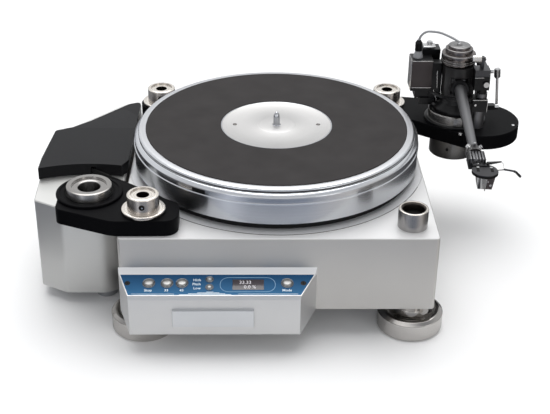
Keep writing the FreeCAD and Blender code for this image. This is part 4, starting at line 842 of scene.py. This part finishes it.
def make_column_details():
    """Bright and grey parts of the height column, its bridge and the cue lever."""
    body = "right_board_body"
    x0, x1, y0 = 227.3, 244.7, 48.3
    column_y = 57
    knob_y, knob_z, ring_step = 60, 54, 2.2

    def screws(bm):
        rod_into(bm, (240.5, y0 - 2.1, 28), (240.5, y0 - 3.4, 28), 3.3, segments=32)
        rod_into(bm, (230.6, y0 - 0.2, 2.0), (230.6, y0 - 1.4, 2.0), 1.3)
    built("column_screws", screws, "silver", body)
    rods("column_collar", [((238.5, column_y, 9.0), (238.5, column_y, 14.0), 6.6)], "tube", body,
         48)
    rods("column_foot", [((236.0, column_y, -29.0), (236.0, column_y, -7.4), 8.1)], "tube", body,
         64)
    boxes("column_trims", [((x0, y0 - 0.3, 7.3), (x1, y0 + 0.2, 8.1)),
                           ((x1 - 0.4, y0 - 0.3, -6.8), (x1 + 0.2, y0 + 0.2, 7.6)),
                           ((x0, y0 - 0.3, 35.0), (x1 - 7, y0 + 0.2, 35.7))], "edge", body)
    starts = [226.4 + i * ring_step for i in range(4)]
    rods("height_knob_rings", [((x, knob_y, knob_z), (x + 1.2, knob_y, knob_z), 4.5) for x in starts],
         "hub_top", "height_knob_body", 40)
    rods("height_knob_end", [((234.8, knob_y, knob_z), (239.4, knob_y, knob_z), 2.9, 2.2)], "black", body,
         32)

    grips, grip_circle = 14, 3.35
    root = Vector((263.0, 80.0, -14.0))
    up = Vector((-0.085, 0, 1)).normalized()
    ends = []
    for i in range(grips):
        a = 2 * math.pi * i / grips
        out = Vector((math.cos(a), math.sin(a), 0)) * grip_circle
        ends.append((root + up * 38.2 + out, root + up * 47.4 + out, 0.42))
    rods("lever_grips", ends, "tube_dark", "cue_lever_body", 8)


# Console

def on_panel(x, s, h=0.0):
    """Point on the panel at x, s down the slope and h above it, in millimetres."""
    down = Vector((0.0, -PANEL_COS, -PANEL_SIN))
    out = Vector((0.0, -PANEL_SIN, PANEL_COS))
    return PANEL_TOP + Vector((x, 0, 0)) + down * s + out * h


PANEL_TURN = Matrix(((1, 0, 0), (0, PANEL_COS, -PANEL_SIN), (0, PANEL_SIN, PANEL_COS)))


def lettering(name, words, size, material, heavy):
    """Flat letters on the panel, made into one mesh; words is a list of (text, x, s)."""
    bm = bmesh.new()
    for text, x, s in words:
        curve = bpy.data.curves.new("letters", "FONT")
        curve.body = text
        curve.size = size
        curve.align_x = "CENTER"
        curve.align_y = "CENTER"
        curve.extrude = 0.03
        curve.resolution_u = 3
        curve.offset = heavy
        temp = bpy.data.objects.new("letters", curve)
        mesh = temp.to_mesh()
        start = len(bm.verts)
        bm.from_mesh(mesh)
        temp.to_mesh_clear()
        bpy.data.objects.remove(temp)
        bpy.data.curves.remove(curve)
        bm.verts.ensure_lookup_table()
        place = on_panel(x, s, 0.14)
        for v in bm.verts[start:]:
            v.co = (PANEL_TURN @ v.co + place) * MM
    finish_piece(from_bmesh(name, bm), material, "root")


def panel_strip(bm, points, width, height=0.06):
    """Thin raised line along (x, s) points on the panel; closed when it ends where it starts."""
    closed = points[0] == points[-1]
    pts = points[:-1] if closed else points
    count = len(pts)
    rows = []
    for i in range(count):
        before = Vector(pts[i - 1]) if closed or i > 0 else Vector(pts[i])
        after = Vector(pts[(i + 1) % count]) if closed or i < count - 1 else Vector(pts[i])
        along = (after - before).normalized()
        side = Vector((-along.y, along.x)) * (width / 2)
        here = Vector(pts[i])
        row = []
        for sign, h in ((1, -0.05), (1, height), (-1, height), (-1, -0.05)):
            p = here + side * sign
            row.append(bm.verts.new(on_panel(p.x, p.y, h) * MM))
        rows.append(row)
    for i in range(count if closed else count - 1):
        a, b = rows[i], rows[(i + 1) % count]
        for k in range(4):
            bm.faces.new((a[k], a[(k + 1) % 4], b[(k + 1) % 4], b[k]))


def make_panel_print():
    """Words by the buttons, digits in the window, and the printed lines."""
    lettering("panel_words", [("Stop", -131.3, 21.6), ("33", -113.0, 21.6), ("45", -97.7, 21.6),
                              ("High", -82.6, 8.3), ("Pitch", -83.0, 13.6), ("Low", -82.4, 18.9),
                              ("Mode", 8.0, 21.6)], 4.2, "ink", 0.08)
    lettering("window_digits", [("33.33", -34.0, 11.4), ("0.0 %", -29.4, 17.4)], 5.6, "digits",
              0.02)

    def outline(bm):
        x0, x1, s0, s1, r = -59.3, -3.8, 4.9, 23.3, 8.6
        points = []
        for cx, cs, start in ((x1 - r, s1 - r, 0), (x0 + r, s1 - r, 90), (x0 + r, s0 + r, 180),
                              (x1 - r, s0 + r, 270)):
            for i in range(9):
                a = math.radians(start + 90 * i / 8)
                points.append((cx + r * math.cos(a), cs + r * math.sin(a)))
        panel_strip(bm, points + points[:1], 0.55)
    built("panel_outline", outline, "ink_soft", "root")

    def lines(bm):
        foot_s, stack_s, stack_step = 26.2, 26.9, 1.1
        for x0, x1 in ((-148.0, -105.0), (-41.0, 19.0)):
            panel_strip(bm, [(x0, foot_s), (x1, foot_s)], 0.45)
        for i in range(4):
            s = stack_s - stack_step * i
            panel_strip(bm, [(-100.0 + 9 * i, s), (-48.0 - 6 * i, s)], 0.6)
    built("panel_lines", lines, "ink", "root")


# Place along the panel and down its slope, radius and height of each button
BUTTONS = {"button_stop": (-131.0, 12.4, 5.25, 1.6), "button_slow": (-112.7, 12.4, 5.25, 1.6),
           "button_fast": (-97.6, 12.4, 5.25, 1.6), "button_mode": (8.3, 12.4, 5.25, 1.6),
           "button_trim_up": (-70.0, 7.5, 3.0, 1.0), "button_trim_down": (-70.0, 17.7, 3.0, 1.0)}


def panel_lathe(bm, profile, x, s, ease):
    """Turned piece whose axis stands square on the panel; profile heights are above the panel."""
    start = len(bm.verts)
    lathe_into(bm, profile, (0, 0), 64, ease)
    bm.verts.ensure_lookup_table()
    place = on_panel(x, s) * MM
    for v in bm.verts[start:]:
        v.co = PANEL_TURN @ v.co + place


def make_buttons():
    """Domed tops that ride on the buttons, and the raised rings round them."""
    for name, (x, s, r, top) in BUTTONS.items():
        bm = bmesh.new()
        panel_lathe(bm, [(0, top - 0.8), (r - 0.2, top - 0.8), (r - 0.2, top - 0.1), (r * 0.86, top + 0.5),
                         (r * 0.6, top + 0.95), (r * 0.3, top + 1.15), (0, top + 1.2)], x, s, 0.3)
        finish_piece(from_bmesh(name + "_dome", bm, 60), "button", name + "_body")
    bm = bmesh.new()
    for x, s, r, _ in BUTTONS.values():
        panel_lathe(bm, [(r + 0.12, -0.3), (r + 1.25, -0.3), (r + 1.25, 0.55), (r + 0.7, 0.85),
                         (r + 0.12, 0.6)], x, s, 0.1)
    finish_piece(from_bmesh("button_bezels", bm), "bezel", "root")


def make_console_trims():
    """Two screws low on the console's front."""
    foot_y = -199.0
    rods("console_foot_screws", [((x, foot_y, -142.2), (x, foot_y, -141.2), 1.6) for x in (-63.0, 15.0)],
         "edge", "root")


make_platter()
make_platter_top()
make_speed_mark()
make_base_seam()
make_posts()
make_hubs()
make_left_collar()
make_feet()
make_arm_base()
make_board_pins()
make_cap()
make_tube_details()
make_shell_details()
make_box_details()
make_column_details()
make_panel_print()
make_buttons()
make_console_trims()


# Floor, light and camera

# What metal reflects of the floor: (share of a full turn from -X through the front, tone)
FLOOR_FAR = [
    (0.0, (140, 142, 148)), (0.071, (66, 68, 74)), (0.117, (104, 108, 116)), (0.158, (190, 195, 205)),
    (0.201, (118, 126, 140)), (0.247, (104, 113, 130)), (0.299, (120, 128, 144)), (0.357, (176, 174, 174)),
    (0.393, (200, 196, 192)), (0.445, (120, 118, 116)), (0.518, (84, 84, 86)), (0.588, (44, 44, 46)),
    (0.75, (110, 110, 112)), (1.0, (140, 142, 148)),
]

# Near tones of the floor in reflections; their dark stretch towards the right rear is a painted shadow of the
# arm and board.
FLOOR_NEAR = [(0.0, (190, 190, 192)), (0.1, (220, 220, 220)), (0.42, (220, 220, 220)), (0.49, (96, 96, 98)),
              (0.6, (60, 60, 62)), (0.75, (140, 140, 142)), (1.0, (190, 190, 192))]
# Metres from the spindle between which the near tones give way to the far ones
FLOOR_BLEND = (0.36, 0.40)
# Half of the floor's side, in metres
FLOOR_HALF = 6.0


def make_floor():
    """Pale floor: white with soft shadows for the camera, duller all round in reflections, where a painted
    shadow lies towards the right rear.
    """
    mesh = bpy.data.meshes.new("floor")
    corners = ((-1, -1), (1, -1), (1, 1), (-1, 1))
    mesh.from_pydata([(x * FLOOR_HALF, y * FLOOR_HALF, FLOOR_Z * MM) for x, y in corners], [],
                     [(0, 1, 2, 3)])
    obj = bpy.data.objects.new("floor", mesh)
    bpy.context.scene.collection.objects.link(obj)
    s = Shader("floor_pale", {"Roughness": 0.9, "Specular IOR Level": 0.0})
    pale = s.blend(s.noise(2.0, 2.0), srgb(238, 238, 238), srgb(242, 242, 242))
    flat = s.vector("MULTIPLY", s.coords, (1.0, 1.0, 0.0))
    reach = s.vector("LENGTH", flat)
    heading = s.split(s.vector("NORMALIZE", flat))
    turn = s.add("ShaderNodeMath", {0: heading["Y"], 1: heading["X"]}, operation="ARCTAN2")
    share = s.share(turn.outputs["Value"], -math.pi, math.pi)
    near = s.ramp(share, [(at, srgb(*tone)) for at, tone in FLOOR_NEAR])
    far = s.ramp(share, [(at, srgb(*tone)) for at, tone in FLOOR_FAR])
    dull = s.mix(s.share(reach, *FLOOR_BLEND, "SMOOTHSTEP"), near, far)
    seen = s.add("ShaderNodeLightPath").outputs["Is Camera Ray"]
    s.colour(s.mix(seen, dull, pale))
    obj.data.materials.append(s.mat)


# Room tones by height, and soft boxes: direction, cosine where it starts and where it is full, brightness
ROOM = [(0.0, (0.74, 0.75, 0.77)), (0.3, (0.76, 0.77, 0.78)), (0.55, (0.76, 0.77, 0.78)),
        (0.8, (0.44, 0.45, 0.47)), (1.0, (0.44, 0.45, 0.47))]
SKY_BOXES = [
    ((0.0, 0.30, 0.95), 0.80, 0.93, (3.5, 3.5, 3.5)),
    ((-0.92, -0.25, 0.30), 0.90, 0.96, (0.5, 0.5, 0.52)),
    ((0.95, -0.15, 0.28), 0.92, 0.97, (0.5, 0.48, 0.46)),
    ((0.60, -0.74, 0.30), 0.982, 0.992, (3.4, 3.35, 3.3)),
    ((-0.50, -0.82, 0.28), 0.982, 0.992, (2.6, 2.6, 2.7)),
]


def make_world():
    """Studio surround, white to the camera: a dim room, a big soft box above, one each side, two in front."""
    world = bpy.data.worlds.new("studio")
    bpy.context.scene.world = world
    world.use_nodes = True
    world.node_tree.nodes.clear()
    g = Graph(world.node_tree)
    out = g.add("ShaderNodeOutputWorld")
    around = g.add("ShaderNodeTexCoord").outputs["Generated"]
    total = g.ramp(g.split(around)["Z"], [(place, tone + (1,)) for place, tone in ROOM])
    for towards, start, full, tone in SKY_BOXES:
        facing = g.vector("DOT_PRODUCT", around, Vector(towards).normalized())
        total = g.mix(g.share(facing, start, full, "SMOOTHSTEP"), total, tone + (1,))
    soft = g.add("ShaderNodeBackground", {"Color": total}).outputs["Background"]
    white = g.add("ShaderNodeBackground", {"Color": (1, 1, 1, 1)}).outputs["Background"]
    seen = g.add("ShaderNodeLightPath").outputs["Is Camera Ray"]
    mix = g.add("ShaderNodeMixShader", {0: seen, 1: soft, 2: white})
    g.link(mix.outputs["Shader"], out.inputs["Surface"])


def make_camera():
    """Pinhole fitted to the photograph: place, pitch, yaw, roll and focal length."""
    place = (-0.0284, -1.134, 0.5288)
    pitch = math.radians(29.25)
    yaw = math.radians(1.41)
    roll = math.radians(-0.75)
    focal_px = 1120.0
    frame_px = 550.0
    sensor = 36.0
    ahead = Vector((math.sin(yaw) * math.cos(pitch), math.cos(yaw) * math.cos(pitch), -math.sin(pitch)))
    level = Vector((math.cos(yaw), -math.sin(yaw), 0))
    below = ahead.cross(level)
    right = level * math.cos(roll) + below * math.sin(roll)
    down = below * math.cos(roll) - level * math.sin(roll)
    turn = Matrix((right, -down, -ahead)).transposed()
    data = bpy.data.cameras.new("camera")
    data.sensor_width = sensor
    data.lens = focal_px / frame_px * sensor
    obj = bpy.data.objects.new("camera", data)
    obj.matrix_world = Matrix.Translation(place) @ turn.to_4x4()
    bpy.context.scene.collection.objects.link(obj)
    bpy.context.scene.camera = obj


make_floor()
make_world()
make_camera()
bpy.context.scene.view_settings.view_transform = "Standard"
